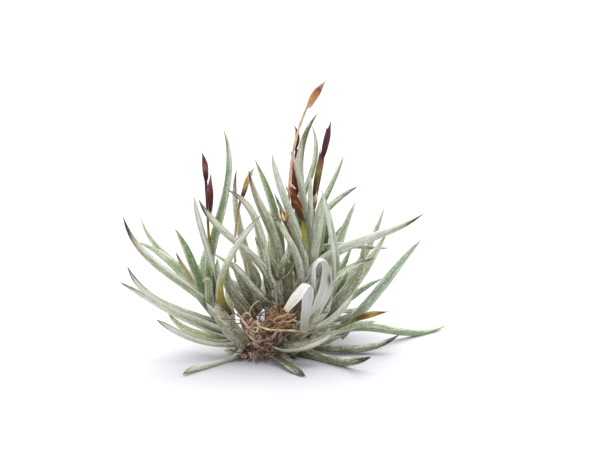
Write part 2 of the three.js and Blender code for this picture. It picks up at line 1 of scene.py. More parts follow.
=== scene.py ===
# %% [markdown]
# # A clump of air plants
# This lesson dresses one natural thing: a clump of small air plants that grew together from one
# dark rootstock. Its leaves are channelled, pointed and covered with silver scales. Between them
# stand dried flower spikes, two leaves that bleached white, and in front lies a tangle of wiry roots.
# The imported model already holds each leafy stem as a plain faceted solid. Here each gets a finer
# piece in the same place, and then the scales, fibres and colours that a solid can't carry.

# %% Load the frame
import math

import bpy
import numpy as np
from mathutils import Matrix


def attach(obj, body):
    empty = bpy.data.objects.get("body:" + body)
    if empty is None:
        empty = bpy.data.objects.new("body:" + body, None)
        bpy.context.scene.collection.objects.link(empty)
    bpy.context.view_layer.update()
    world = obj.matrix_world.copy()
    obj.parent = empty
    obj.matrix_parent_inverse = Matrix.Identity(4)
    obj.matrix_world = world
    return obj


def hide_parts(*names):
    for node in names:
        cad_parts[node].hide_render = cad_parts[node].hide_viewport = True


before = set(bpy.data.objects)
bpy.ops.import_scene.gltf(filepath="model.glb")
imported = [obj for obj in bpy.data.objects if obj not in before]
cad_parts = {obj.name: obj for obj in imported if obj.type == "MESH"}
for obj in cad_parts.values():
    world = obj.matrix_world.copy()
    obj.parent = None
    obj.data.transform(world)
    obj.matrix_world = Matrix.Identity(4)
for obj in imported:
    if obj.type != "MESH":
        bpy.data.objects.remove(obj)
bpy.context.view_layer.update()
bpy.ops.object.select_all(action="DESELECT")
print("nodes to dress:", len(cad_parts))

# %% [markdown]
# ## Camera
# The view is that of a product photo taken from a little above the table with a long lens: 14
# degrees down, from 0.42 m away. The picture's middle then looks at a point 38 mm above the table.

# %% Camera
MM = 0.001
CAMERA_PLACE = (10.07, -407.5, 139.6)
PITCH = math.radians(14)
LENS, SENSOR_WIDTH = 90, 36
NEAREST = 0.01
bpy.ops.object.camera_add(
    location=[value * MM for value in CAMERA_PLACE],
    rotation=(math.radians(90) - PITCH, 0, 0),
)
camera = bpy.context.object
camera.data.lens = LENS
camera.data.sensor_width = SENSOR_WIDTH
camera.data.clip_start = NEAREST
bpy.context.scene.camera = camera
print("camera looks down by", round(math.degrees(PITCH)), "degrees")

# %% [markdown]
# ## Floor and light
# A white sweep fills the picture, so the floor is one large pale sheet. Pale air all round gives the
# even light of a light tent. A wide soft lamp far above and a little behind the plant lights the
# upper sides of the leaves, and its shadow falls softly towards the viewer. A weak and even wider
# one in front fills the shade between the leaves.

# %% Floor and light
def linear(hex_color):
    """An sRGB hex colour as the linear values that a shader works with."""
    values = [int(hex_color[i : i + 2], 16) / 255 for i in (1, 3, 5)]
    return [v / 12.92 if v <= 0.04045 else ((v + 0.055) / 1.055) ** 2.4 for v in values] + [1.0]


FLOOR_SIZE = 12
FLOOR_HEIGHT = -0.00005
PAPER = "#ccced4"
LIGHTS = {
    "soft_fill_in_front": {"turn": (68, 0, -15), "width": 100, "strength": 0.4, "color": "#ffffff"},
    "soft_lamp_above": {"turn": (-20, 0, 0), "width": 75, "strength": 4.3, "color": "#fffaf2"},
}
AIR = "#f2f6ff"
AIR_STRENGTH = 0.69

bpy.ops.mesh.primitive_plane_add(size=FLOOR_SIZE, location=(0, 0, FLOOR_HEIGHT))
floor = bpy.context.object
floor.name = "floor"

for name, light in LIGHTS.items():
    bpy.ops.object.light_add(type="SUN", rotation=[math.radians(angle) for angle in light["turn"]])
    lamp = bpy.context.object
    lamp.name = name
    lamp.data.angle = math.radians(light["width"])
    lamp.data.energy = light["strength"]
    lamp.data.color = linear(light["color"])[:3]

world = bpy.data.worlds.new("light_tent")
bpy.context.scene.world = world
world.use_nodes = True
air = world.node_tree.nodes["Background"].inputs
air["Color"].default_value = linear(AIR)
air["Strength"].default_value = AIR_STRENGTH
bpy.context.scene.view_settings.view_transform = "Standard"
print("lights:", ", ".join(LIGHTS))

# %% [markdown]
# ## Curves that leaves follow
# A leaf leaves its stem, passes two points and ends in its tip. One cubic curve through those four
# points gives its line. Blender's bend needs a window, so each leaf's points are laid along its
# curve by these few formulas. They are those of the solid model, so the leaves stay where it is.

# %% Curves
SIGHT = np.array([0, math.cos(PITCH), -math.sin(PITCH)])


def unit(vector):
    return vector / np.linalg.norm(vector)


def units(rows):
    return rows / np.linalg.norm(rows, axis=1, keepdims=True)


def draws(seed):
    """Seeded draws from 0 to 1. They are those of the solid model, step for step."""
    state = seed
    mask = 0xFFFFFFFF

    def draw():
        nonlocal state
        state = (state + 0x6D2B79F5) & mask
        mixed = ((state ^ (state >> 15)) * (state | 1)) & mask
        mixed ^= (mixed + (((mixed ^ (mixed >> 7)) * (mixed | 61)) & mask)) & mask
        return ((mixed ^ (mixed >> 14)) & mask) / 2**32

    return draw


def within(span, draw):
    """A draw from a span, which is given as its least value and how far it goes on from there."""
    return span[0] + span[1] * draw()


# A wave may start anywhere in its turn.
ANY_PHASE = (0, 6.3)


def curve_through(points):
    """The four handles of a cubic curve that meets its inner points at their share of the way."""
    foot, a, b, tip = (np.array(p, float) for p in points)
    steps = [np.linalg.norm(a - foot), np.linalg.norm(b - a), np.linalg.norm(tip - b)]
    share_a = steps[0] / sum(steps)
    share_b = (steps[0] + steps[1]) / sum(steps)
    blend = [[3 * t * (1 - t) ** 2, 3 * t**2 * (1 - t)] for t in (share_a, share_b)]
    rest = [p - foot * (1 - t) ** 3 - tip * t**3 for p, t in ((a, share_a), (b, share_b))]
    handles = np.linalg.solve(np.array(blend), np.array(rest))
    return np.array([foot, handles[0], handles[1], tip])


def along_curve(handles, t):
    """Points and directions of a cubic curve at each share t."""
    t = np.asarray(t, float)[:, None]
    near, far = 1 - t, t
    weights = [near**3, 3 * near**2 * far, 3 * near * far**2, far**3]
    points = sum(w * h for w, h in zip(weights, handles))
    slopes = [3 * near**2, 6 * near * far, 3 * far**2]
    ways = sum(s * (handles[k + 1] - handles[k]) for k, s in enumerate(slopes))
    return points, units(ways)


def frames_along(ways, face):
    """Sides and faces along a line that don't twist, starting from the way its inner face looks."""
    faces = []
    for way in ways:
        face = unit(face - way * face.dot(way))
        faces.append(face)
    faces = np.array(faces)
    return np.cross(ways, faces), faces


def run_through(rows, t):
    """Values that run evenly through the given rows, from t = 0 to t = 1."""
    rows = np.array(rows, float)
    even = np.linspace(0, 1, len(rows))
    return np.stack([np.interp(t, even, column) for column in rows.T], axis=1)


def guided_frames(ways, t, given):
    """Sides and faces along a line whose inner face looks the given ways, at even shares of it."""
    faces = run_through(given, t)
    faces = units(faces - ways * (faces * ways).sum(axis=1, keepdims=True))
    return np.cross(ways, faces), faces


test = curve_through([(0, 0, 0), (1, 0, 1), (2, 0, 1), (3, 0, 0)])
print("a test curve meets its second point:", along_curve(test, [0.369])[0].round(2))

# %% [markdown]
# ## Where the leaves grow
# Each leafy stem is a spiral of leaves. A row gives two points that a leaf passes and its tip, each
# as [x, z] in millimetres in the photo's plane, then the tip's depth, the leaf's width and a letter
# for its look. Rows run from the oldest leaf to the youngest. Leaves that face away from the viewer
# are drawn by a seeded rule, from their count, the way and the fan in degrees in which they head,
# how steeply they rise and their length. The numbers are those of the solid model.

# %% Leafy stems
ROSETTES = {}


def add_stem(name, stem, bare, rear, *leaves):
    """A stem's three points, its bare share, how leaves on its far side grow, and its leaf rows."""
    ROSETTES[name] = {"stem": stem, "bare": bare, "rear": rear, "leaves": leaves}


add_stem(
    "rosette_left", [[-4, -1.5, 2.5], [-10.5, -3, 7.5], [-14.5, -5, 17.5]], 0.1,
    dict(count=3, heading=[-0.1, 1], fan=44, rise=0.42, length=26),
    [[-9, 0.8], [-16, 0.7], [-22, 0.5], -19, 3.6, "w"],
    [[-15, 5], [-22.5, 8.5], [-29.5, 14], -12, 3.7, "w"],
    [[-17, 5], [-22.5, 6.5], [-28, 11], 5, 3.4, "k"],
    [[-18, 9.5], [-28.5, 15.5], [-40, 23], -6, 3.2, "w"],
    [[-17.5, 12], [-29, 18.5], [-37, 29.5], -13, 3.7, "w"],
    [[-20, 20.5], [-30, 29], [-38, 43], -11, 3.7, "D"],
    [[-19.5, 19.5], [-26.5, 27], [-36.5, 32.5], 3, 3.2, "p"],
    [[-21, 22.5], [-29, 28.5], [-35.5, 37.5], 10, 2.9, "p"],
    [[-18.5, 19.5], [-21.5, 23.5], [-25, 29.5], 2, 2.9, "t"],
    [[-12.5, 20.5], [-9.5, 30.5], [-0.5, 43.5], -12, 3.4, "y"],
    [[-17, 21], [-17.5, 25.5], [-16.5, 30.5], 7, 3.2, "p"],
    [[-14.5, 27.5], [-17, 37], [-19, 47.5], -6, 3.4, "p"],
    [[-18, 22.5], [-20.5, 29.5], [-24.5, 38], -5, 3.4, "g"],
    [[-13.5, 21], [-13, 25], [-13, 28.5], 0, 2.9, "g"],
    [[-13.5, 35.5], [-10, 50.5], [-11, 64.5], 2, 3.4, "g"],
    [[-15, 17], [-15.5, 20], [-17, 24], -9, 2.9, "g"],
)
add_stem(
    "rosette_mid_left", [[-2.5, 3, 2.5], [-4, 6, 8.5], [-4, 8, 14.5]], 0.25,
    dict(count=3, heading=[-0.05, 1], fan=60, rise=0.5, length=25),
    [[-7.5, 15], [-10, 20], [-9.5, 28], 1, 4, "k"],
    [[-5, 16.5], [-7, 21.5], [-9, 26], 4, 3.7, "k"],
    [[-4.5, 23], [-7.5, 36.5], [-8, 51.5], 10, 2.9, "t"],
    [[-2.5, 21], [-4.5, 24.5], [-7, 30], 9, 3.2, "p"],
)
add_stem(
    "rosette_middle", [[0.5, 1.5, 3.5], [2, 2, 12], [3.5, 2, 22.5]], 0.55,
    dict(count=3, heading=[0, 1], fan=50, rise=0.75, length=28),
    [[-2, 18.5], [-5, 23], [-9.5, 28.5], -3, 3.7, "k"],
    [[-2, 28], [-9, 35.5], [-17.5, 47], -8, 3.4, "D"],
    [[-0.5, 34], [-3, 43], [-9.5, 50], -9, 3.4, "d"],
    [[1.5, 27.5], [-0.5, 32.5], [-2, 38.5], 3, 3.2, "g"],
    [[2, 27], [0, 30.5], [-2.5, 35], -2, 3.2, "g"],
    [[2.5, 35], [-1, 44], [-4, 54.5], -4, 3.4, "d"],
    [[3.5, 38], [1, 47], [-2.5, 55.5], 5, 3.2, "g"],
    [[7, 24], [8.5, 29.5], [7.5, 35.5], 7, 3.2, "g"],
    [[5.5, 27], [7, 31], [6.5, 35], -4, 2.6, "u"],
)
add_stem(
    "rosette_tall", [[3.5, 3.5, 2.5], [9, 4, 11], [12.5, 4, 23]], 0.6,
    dict(count=5, heading=[0.15, 1], fan=80, rise=0.85, length=28),
    [[20, 30], [32, 36.3], [43.5, 43.3], -9, 3.6, "v"],
    [[20, 31], [27.5, 30.5], [35, 30], 5, 2.6, "e"],
    [[9, 29.5], [6, 37], [2, 43], -8, 3.2, "c"],
    [[9, 37], [5.3, 48.5], [2.5, 60], -9, 4, "p"],
    [[8.5, 35], [5.5, 41.5], [3, 47.5], -2, 2.5, "c"],
    [[15.5, 38], [21, 44], [26.5, 47.5], 7, 3.4, "e"],
    [[15, 39], [19, 47], [22.5, 55], 13, 3, "g"],
    [[10.6, 46], [10.6, 58.4], [15, 68], 9, 4, "o"],
    [[11.5, 45.5], [14.5, 55], [13.5, 63.5], 15, 2.9, "g"],
    [[12, 38], [10.5, 49], [7.5, 59], 1, 3.7, "k"],
    [[15.5, 31], [16.5, 38], [17, 45.5], 2, 3.2, "g"],
    [[13.5, 30], [15, 39], [16.5, 48.5], -6, 4, "p"],
    [[13, 33.5], [13, 43.5], [13, 53.5], -4, 2.6, "p"],
)
add_stem(
    "rosette_right", [[5, 0, 3.5], [11, -1, 7], [17, -3, 14.5]], 0.35,
    dict(count=2, heading=[0.5, 1], fan=40, rise=0.6, length=22),
    [[19.5, 12.5], [23, 17], [25, 20.5], -8, 3.7, "s"],
    [[22, 18], [26.5, 25.5], [27.5, 33.5], -3, 4.5, "q"],
    [[23.5, 18.5], [29.5, 26.5], [34.5, 34.5], 4, 4, "s"],
    [[20, 24], [25, 28], [30.5, 30.5], -8, 3.2, "e"],
    [[18.5, 17], [21.5, 21], [23.5, 24.5], 0, 3.4, "g"],
    [[20, 21], [22.5, 26], [25, 30.5], 5, 2.6, "g"],
    [[20, 25], [19, 37], [16, 49.5], -7, 3.7, "p"],
)
add_stem(
    "rosette_low_right", [[5, -3, 1.5], [12.5, 0, 3.5], [20.5, 4, 5.5]], 0.1,
    dict(count=2, heading=[0.5, 1], fan=50, rise=0.15, length=24),
    [[7.2, 0.9], [9.4, 0.8], [11.5, 0.5], -20, 3.4, "m"],
    [[12.5, 1], [21.5, 0.6], [29.5, 4], -18, 3.7, "m"],
    [[21, 1.5], [30.5, 2], [38.5, 5.5], 1, 3.4, "m"],
    [[13.5, 3.5], [16, 5.5], [19, 8.5], -9, 4.2, "a"],
    [[28, 5.8], [40, 2.2], [54, 1.2], 23, 3.4, "f"],
    [[24, 7], [28, 8], [32, 8.5], 4, 2.4, "p"],
    [[23, 10.5], [25, 10.5], [26.5, 11], 9, 2.9, "g"],
    [[29, 13], [37, 22], [45, 30.5], 12, 3.7, "b"],
)
add_stem(
    "rosette_back_right", [[5.5, 6.5, 4.5], [11, 12.5, 8], [16, 18, 14.5]], 0.3,
    dict(count=6, heading=[0.25, 1], fan=130, rise=0.35, length=26),
    [[23.5, 12], [29, 15.5], [34.5, 18], 16, 3.2, "b"],
    [[28.5, 9], [35, 15], [41, 21], 20, 2.6, "b"],
    [[25, 19], [30.5, 28.5], [34.5, 39], 16, 2.9, "p"],
    [[20.5, 24], [23.5, 32.5], [26, 37.5], 22, 2.6, "D"],
    [[20, 25.5], [23, 33], [26, 40.5], 17, 2.9, "p"],
    [[17, 23.5], [19.5, 29.5], [22, 34.5], 13, 2.6, "p"],
)
add_stem(
    "rosette_back", [[0.5, 7, 3.5], [1.5, 13.5, 8], [3, 20.5, 12.5]], 0.3,
    dict(count=9, heading=[0.1, 1], fan=150, rise=0.4, length=25),
)
add_stem(
    "rosette_under", [[0, 3, 2.2], [-0.5, 7, 2.6], [-0.5, 9, 3]], 0.2,
    dict(count=5, heading=[-0.1, 1], fan=120, rise=-0.09, length=26),
)
print("listed leaves:", sum(len(stem["leaves"]) for stem in ROSETTES.values()))

# %% [markdown]
# ## Looks of single leaves
# No two leaves look alike. Young ones are green where the scales are thin, old ones are dry and
# tan, and most tips have died back to grey-brown or nearly black. A look is one row: the leaf's own
# colour, then how bare of scales it is, how much has dried to tan, how far and dark the tip has
# died, and how yellow its foot is, each from 0 for none to about 1. Some rows go on with the colour
# of the dead tip and that of its rims. The last two are for the stems and their sheaths.

# %% Looks of leaves
LOOK_PARTS = ("leaf", "bare", "tan", "dark", "yellow", "tip", "rim")
LOOK_ROWS = {
    "k": ("#8d9c66", 0.4, 0.1, 0.5, 0),
    "g": ("#79965c", 0.72, 0, 0.2, 0),
    "b": ("#6f947e", 0.8, 0, 0.1, 0),
    "f": ("#708e56", 0.7, 0, 0.1, 0),
    "p": ("#8fa57a", 0.2, 0.05, 0.12, 0),
    "w": ("#959f74", 0.1, 0.15, 0.8, 0),
    "c": ("#94a078", 0.15, 0.2, 0.9, 0),
    "d": ("#848f58", 0.5, 0.15, 0.8, 0),
    "D": ("#8c9868", 0.3, 0.15, 1, 0),
    "t": ("#8c8c60", 0.2, 0.8, 0.7, 0),
    "s": ("#b4b096", 0.25, 0.35, 0.2, 0),
    "q": ("#80865e", 0.5, 0.15, 0.2, 0),
    "a": ("#a9a67e", 0.4, 0.6, 0, 0),
    "v": ("#a3ab9c", 0, 0, 0.9, 0),
    "e": ("#8c9868", 0.3, 0.1, 0.7, 0, "#54463c", "#5a4c3c"),
    "u": ("#8d9c66", 0.3, 0.1, 0.4, 0.5),
    "o": ("#8f9c70", 0.3, 0.1, 1.4, 0, "#6a6640"),
    "m": ("#606c46", 0.95, 0, 0.9, 0, "#36362c", "#4c4c3e"),
    "y": ("#8d9c66", 0.3, 0.1, 0.7, 1, "#7a5c44"),
    "stem": ("#8d9c66", 0.2, 0.6, 0, 0),
    "sheath": ("#8d9c66", 0.1, 0.7, 0.2, 0),
}
LOOKS = {name: dict(zip(LOOK_PARTS, row)) for name, row in LOOK_ROWS.items()}
REAR_LOOKS = "gkpdgkpg"
print("looks:", len(LOOKS))

# %% [markdown]
# ## Growing the leaves
# A leaf starts inside its stem and its inner face looks up along the stem. Where leaves of two stems
# would cross, they lean apart along the line of sight, as in the solid model: the outline that
# the viewer sees stays, and the leaves pass in front of or behind each other.

# %% Growth
GAP = 0.3
LEAF_SEED = 14
LOWEST = 0.5
# A listed leaf comes out of the photo's plane slowly at first: by this power of its way out.
DEPTH_BEND = 1.3
REAR_TURN = 0.2
REAR_CLIMB = 0.3
REAR_LENGTH = (0.85, 0.3)
REAR_ARCH = (-0.02, 0.1)
REAR_WIDTH = (3, 0.6)
REAR_SHARES = (0.36, 0.7, 1)
# Leaves on the far side take every seventh place up the stem, so that they don't climb in a row.
REAR_STEP = 7


def on_stem(stem, t):
    """A point of a stem's quadratic curve and the way that the stem rises there."""
    a, b, c = (np.array(p, float) for p in stem)
    point = a * (1 - t) ** 2 + b * 2 * t * (1 - t) + c * t**2
    return point, unit((b - a) * (1 - t) + (c - b) * t)


def leaf_from(foot, rise, points, width, look):
    out = unit(np.array(points[1], float) - foot)
    curve = curve_through([foot, *points])
    return {"curve": curve, "inner": rise * 2 - out, "width": width, "look": look}


def listed_leaf(row, foot, rise):
    a, b, tip, depth, width, look = row
    reach = [math.hypot(x - foot[0], z - foot[2]) for x, z in (a, b, tip)]
    shares = [min(1, r / reach[2]) ** DEPTH_BEND for r in reach]
    points = [[x, foot[1] + (depth - foot[1]) * s, z] for (x, z), s in zip((a, b, tip), shares)]
    return leaf_from(foot, rise, points, width, look)


def rear_leaf(rear, order, foot, rise, draw):
    fan = math.radians(rear["fan"]) * ((order + 0.5) / rear["count"] - 0.5)
    angle = math.atan2(rear["heading"][1], rear["heading"][0]) + fan + REAR_TURN * (draw() - 0.5)
    climb = rear["rise"] + REAR_CLIMB * (draw() - 0.5)
    length = rear["length"] * within(REAR_LENGTH, draw)
    arch = length * within(REAR_ARCH, draw)
    way = unit(np.array([math.cos(angle), math.sin(angle), climb]))
    points = []
    for share in REAR_SHARES:
        point = foot + way * length * share
        point[2] = max(LOWEST, point[2] + (arch if share < 1 else -arch))
        points.append(point)
    return leaf_from(foot, rise, points, within(REAR_WIDTH, draw), REAR_LOOKS[order % len(REAR_LOOKS)])


def grown_leaves(name, stem, draw):
    rows, rear = stem["leaves"], stem["rear"]
    leaves = []
    for i, row in enumerate(rows):
        share = stem["bare"] + (1 - stem["bare"]) * i / max(1, len(rows) - 1)
        leaves.append(listed_leaf(row, *on_stem(stem["stem"], share)))
    count = len(rows) + rear["count"]
    for i in range(rear["count"]):
        order = (i * REAR_STEP) % count
        share = stem["bare"] + (1 - stem["bare"]) * order / max(1, count - 1)
        leaves.append(rear_leaf(rear, i, *on_stem(stem["stem"], share), draw))
    return [{**leaf, "stem": name} for leaf in leaves]


leaf_draw = draws(LEAF_SEED)
leaves = [leaf for name, stem in ROSETTES.items() for leaf in grown_leaves(name, stem, leaf_draw)]
print("leaves:", len(leaves), "widest:", max(leaf["width"] for leaf in leaves), "mm")

# %% [markdown]
# ### Parting leaves that would cross
# Every pair of leaves from two stems is compared at a few places along them. Where they come closer
# than their widths need, both lean a little along the line of sight, and this is repeated until the
# leaves pass clear of each other. Their feet are held, because there they belong together.

# %% Parting
PARTING_ROUNDS = 90
PARTING_STEP = 0.6
PARTING_HOLD = 0.995
PARTING_SAMPLES = 24
PARTING_REACH = 0.38
PARTING_MARGIN = 2
HELD_SHARE = 0.25
MOST_LEAN = 10

shares = np.arange(1, PARTING_SAMPLES + 1) / PARTING_SAMPLES
samples = np.array([along_curve(leaf["curve"], shares)[0] for leaf in leaves])
widths = np.array([leaf["width"] for leaf in leaves])
stems = [leaf["stem"] for leaf in leaves]
seen = np.stack([samples[..., 0], samples @ np.cross(SIGHT, [1, 0, 0])], axis=-1)
low, high = seen.min(1) - PARTING_MARGIN, seen.max(1) + PARTING_MARGIN


def may_meet(i, j):
    return stems[i] != stems[j] and (low[i] < high[j]).all() and (low[j] < high[i]).all()


pairs = [(i, j) for i in range(len(leaves)) for j in range(i + 1, len(leaves)) if may_meet(i, j)]
first, second = np.array(pairs).T
# Each place on the one leaf is compared with each place on the other: how far apart they are along
# the line of sight, how far aside of it, and how far apart they would have to be.
offset = samples[second][:, None, :, :] - samples[first][:, :, None, :]
along = offset @ SIGHT
aside = (offset**2).sum(-1) - along**2
clear = (PARTING_REACH * (widths[first] + widths[second]) + GAP)[:, None, None]
share_a, share_b = shares[None, :, None], shares[None, None, :]
held = (share_a < HELD_SHARE) & (share_b < HELD_SHARE)
close = (aside < clear**2) & ~held
room = np.sqrt(np.where(close, clear**2 - aside, 0))
# In each round both leaves of a pair are pushed, more where the place is nearer to the tip.
lean = np.zeros(len(leaves))
for _ in range(PARTING_ROUNDS):
    apart = along + lean[second][:, None, None] * share_b - lean[first][:, None, None] * share_a
    need = np.where(close, np.maximum(0, room - np.abs(apart)), 0) * np.where(apart < 0, -1, 1)
    push_a = -need * share_a / (share_a + share_b)
    push_b = need * share_b / (share_a + share_b)
    nearer, farther = np.zeros(len(leaves)), np.zeros(len(leaves))
    for which, push in ((first, push_a), (second, push_b)):
        np.minimum.at(nearer, which, push.min((1, 2)))
        np.maximum.at(farther, which, push.max((1, 2)))
    lean = np.clip(PARTING_HOLD * lean + PARTING_STEP * (nearer + farther), -MOST_LEAN, MOST_LEAN)
for leaf, amount in zip(leaves, lean):
    leaf["curve"] = leaf["curve"] + SIGHT * amount * np.array([0, 1 / 3, 2 / 3, 1])[:, None]
print("pairs that may meet:", len(pairs), "most lean:", abs(lean).max().round(1), "mm")

# %% [markdown]
# ### Leaves set right
# Two leaves on the far side would show nothing but their tips, like thorns, beside a nearer leaf.
# They end a little sooner here. The first part of a cubic curve is a cubic curve again. Of the
# leaves in front on the right, one lifts off the table earlier, by so much at its three outer
# handles. Two come from farther left, out of the rootstock, and keep their tips. The one with the
# yellow foot starts deeper in its stem. It and two in the middle are wider than their solids.

# %% Leaves set right
SHORTENED = {81: 0.85, 82: 0.85}
RAISED = {66: (0.2, 0.8, 1.3)}
LAID_ANEW = {
    9: [[-10.4, -2, 12.5], [-11.6, -8.7, 25.9], [-6.9, -13.3, 36.2], [-0.5, -18.1, 45]],
    65: [[3, -8, 2.6], [6.2, -12, 1.6], [9, -16.5, 1], [11.5, -19.9, 0.5]],
    68: [[3.6, -5.4, 4.6], [8.6, -9.6, 5.1], [13.6, -10.4, 6.7], [18.8, -9, 8.6]],
}
LAID_FACES = {65: np.array([0, -0.5, 1]), 68: np.array([0, -0.5, 1])}
WIDENED = {9: 3.8, 27: 4.2, 28: 4}


def first_part(handles, share):
    """The first share of a cubic curve, as four handles."""
    a, b, c, d = handles
    ab, bc, cd = (p + (q - p) * share for p, q in ((a, b), (b, c), (c, d)))
    abc, bcd = ab + (bc - ab) * share, bc + (cd - bc) * share
    return np.array([a, ab, abc, abc + (bcd - abc) * share])


for which, share in SHORTENED.items():
    leaves[which]["curve"] = first_part(leaves[which]["curve"], share)
for which, lifts in RAISED.items():
    leaves[which]["curve"][1:, 2] += lifts
for which, points in LAID_ANEW.items():
    leaves[which]["curve"] = curve_through(points)
for which, face in LAID_FACES.items():
    leaves[which]["inner"] = face
for which, width in WIDENED.items():
    leaves[which]["width"] = width
print("leaves set right:", len({*SHORTENED, *RAISED, *LAID_ANEW, *WIDENED}))

# %% [markdown]
# ## The blank for every strand
# Leaves, stalks, pods and roots are all one form: a closed strand that is thick or thin, round or
# channelled. So one blank is modelled by hand: a circle is filled and its face is extruded ring by
# ring to a rod of radius 1 and length 1. Its copies are then shaped by a section and laid on a curve.

# %% Strand blanks
def shape_of(solid):
    """A modelled object's points and faces. The object itself isn't kept."""
    places = np.zeros(len(solid.data.vertices) * 3)
    solid.data.vertices.foreach_get("co", places)
    faces = [tuple(face.vertices) for face in solid.data.polygons]
    bpy.data.objects.remove(solid)
    return places.reshape(-1, 3), faces


def strand_blank(sides, steps):
    """A closed rod along +Z, from 0 to 1, that rises by the given steps between its rings."""
    bpy.ops.object.select_all(action="DESELECT")
    bpy.ops.mesh.primitive_circle_add(vertices=sides, radius=1, fill_type="NGON")
    rod = bpy.context.object
    bpy.ops.object.mode_set(mode="EDIT")
    bpy.ops.mesh.select_all(action="SELECT")
    for step in steps:
        bpy.ops.mesh.extrude_region_move(TRANSFORM_OT_translate={"value": (0, 0, step)})
    bpy.ops.mesh.select_all(action="SELECT")
    bpy.ops.mesh.normals_make_consistent(inside=False)
    bpy.ops.object.mode_set(mode="OBJECT")
    places, faces = shape_of(rod)
    return {"places": places, "faces": faces, "rings": np.concatenate([[0], np.cumsum(steps)])}


LEAF_STEPS = np.array([0.03] * 2 + [0.04] * 3 + [0.05] * 12 + [0.04] * 3 + [0.025] * 5 + [0.015] * 2)
leaf_blank = strand_blank(sides=14, steps=LEAF_STEPS / LEAF_STEPS.sum())
stalk_blank = strand_blank(sides=8, steps=[1 / 20] * 20)
pod_blank = strand_blank(sides=18, steps=[1 / 28] * 28)
root_blank = strand_blank(sides=6, steps=[1 / 24] * 24)
fibre_blank = strand_blank(sides=4, steps=[1 / 4] * 4)
print("points of the leaf blank:", len(leaf_blank["places"]))

# %% [markdown]
# ## Laying a blank on a curve
# Each ring of the blank goes to its place on the curve, square to it. A section says how wide and how
# thick the strand is there. The points also keep where they are on the strand, in millimetres: the
# patterns of the materials follow that, so streaks run along a leaf however it curves. A strand's
# number shifts it along the pattern, so that leaves beside each other have other streaks.

# %% Laying blanks
LOWEST_POINT = 0.02
PATTERN_SHIFT = 11.3


def laid_out(blank, line, inner, section, number):
    """A strand: its places, its faces, and where each point is on the strand.

    The inner face looks one given way at the foot, or a list of ways from the foot to the tip.
    """
    x, y, t = blank["places"].T
    points, ways = line(blank["rings"])
    inner = np.array(inner, float)
    if inner.ndim == 2:
        sides, faces = guided_frames(ways, blank["rings"], inner)
    else:
        sides, faces = frames_along(ways, inner)
    ring = np.abs(t[:, None] - blank["rings"]).argmin(1)
    across, through = section(t, x, y)
    places = points[ring] + sides[ring] * across[:, None] + faces[ring] * through[:, None]
    places[:, 2] = np.maximum(places[:, 2], LOWEST_POINT)
    length = np.linalg.norm(np.diff(points, axis=0), axis=1).sum()
    strand = np.stack([across + PATTERN_SHIFT * number, through, t * length], axis=1)
    return {"places": places, "faces": blank["faces"], "strand": strand}


def joined(name, strands, material):
    """One smooth object from strands. What they give besides places and faces goes to its points."""
    starts = np.cumsum([0] + [len(strand["places"]) for strand in strands])
    faces = []
    for start, strand in zip(starts, strands):
        faces += [tuple(corner + start for corner in face) for face in strand["faces"]]
    mesh = bpy.data.meshes.new(name)
    places = np.concatenate([strand["places"] for strand in strands]) * MM
    mesh.from_pydata(places.tolist(), [], faces)
    for key in sorted(strands[0].keys() - {"places", "faces"}):
        values = np.concatenate([strand[key] for strand in strands]).astype(np.float32)
        field = mesh.attributes.new(key, "FLOAT_VECTOR", "POINT")
        field.data.foreach_set("vector", values.ravel())
    mesh.shade_smooth()
    mesh.materials.append(material)
    piece = bpy.data.objects.new(name, mesh)
    bpy.context.scene.collection.objects.link(piece)
    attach(piece, "root")
    print(name, "faces:", len(faces))
    return piece


def cubic_line(curve):
    return lambda t: along_curve(curve, t)


def rgb(color):
    """A hex colour as three linear values."""
    return np.array(linear(color)[:3])


def tints_along(colors, t):
    """Linear colours that run through the given hex colours from t = 0 to t = 1."""
    return run_through([rgb(color) for color in colors], t)


print("a strand keeps", LOWEST_POINT, "mm above the table")

# %% [markdown]
# ## Materials
# Nothing here is glossy. Every surface is a dry or felted plant tissue: it doesn't conduct, its index
# of refraction is near 1.45 and it is rough. What makes the tissues differ is colour and fine
# structure. Broad changes of colour, such as a dark tip, are kept with the points of a strand as
# "tint", and the nodes add what is too fine for points.

# %% Node helper
def add_node(material, kind, inputs, **settings):
    """Adds a node with its settings. An input is a value, an output to link, or a node to link."""
    tree = material.node_tree
    node = tree.nodes.new(kind)
    for name, value in settings.items():
        setattr(node, name, value)
    for key, value in inputs.items():
        if isinstance(value, bpy.types.Node):
            tree.links.new(value.outputs[0], node.inputs[key])
        elif isinstance(value, bpy.types.NodeSocket):
            tree.links.new(value, node.inputs[key])
        else:
            node.inputs[key].default_value = value
    return node


def new_material(name):
    material = bpy.data.materials.new(name)
    material.use_nodes = True
    material.node_tree.nodes.clear()
    return material


# A mix node keeps its two colours, and the mixed one, at these places in its lists.
FIRST_COLOR, SECOND_COLOR, MIXED_COLOR = 6, 7, 2
print("a mix node's result is output", MIXED_COLOR)

# %% [markdown]
# ### White paper
# The sweep under the plant is matte paper. Only the shadow shows on it, so it is left plain.

# %% White paper
paper = new_material("matte_white_paper")
sheet = add_node(paper, "ShaderNodeBsdfPrincipled", {"Base Color": linear(PAPER), "Roughness": 0.9})
add_node(paper, "ShaderNodeOutputMaterial", {"Surface": sheet})
floor.data.materials.append(paper)
print("floor:", floor.data.materials[0].name)

# %% [markdown]
# ### Felted leaf
# The leaf of such a plant is green, but tiny silver scales stand all over it and catch water from the
# air. They lie densest along the rims and on dry leaves, and where they are thin the green shows.
# Real scales are about 0.2 mm wide and sit in rows along the leaf. In the picture one pixel is
# 0.28 mm, so the speckle is drawn 0.4 mm wide, which is coarser than the real one. Each point's
# "felt" says how dense the scales are, and the speckle and the streaks of the rows are added to it.
# The scales scatter light at grazing angles as velvet does, so the shader has some sheen.

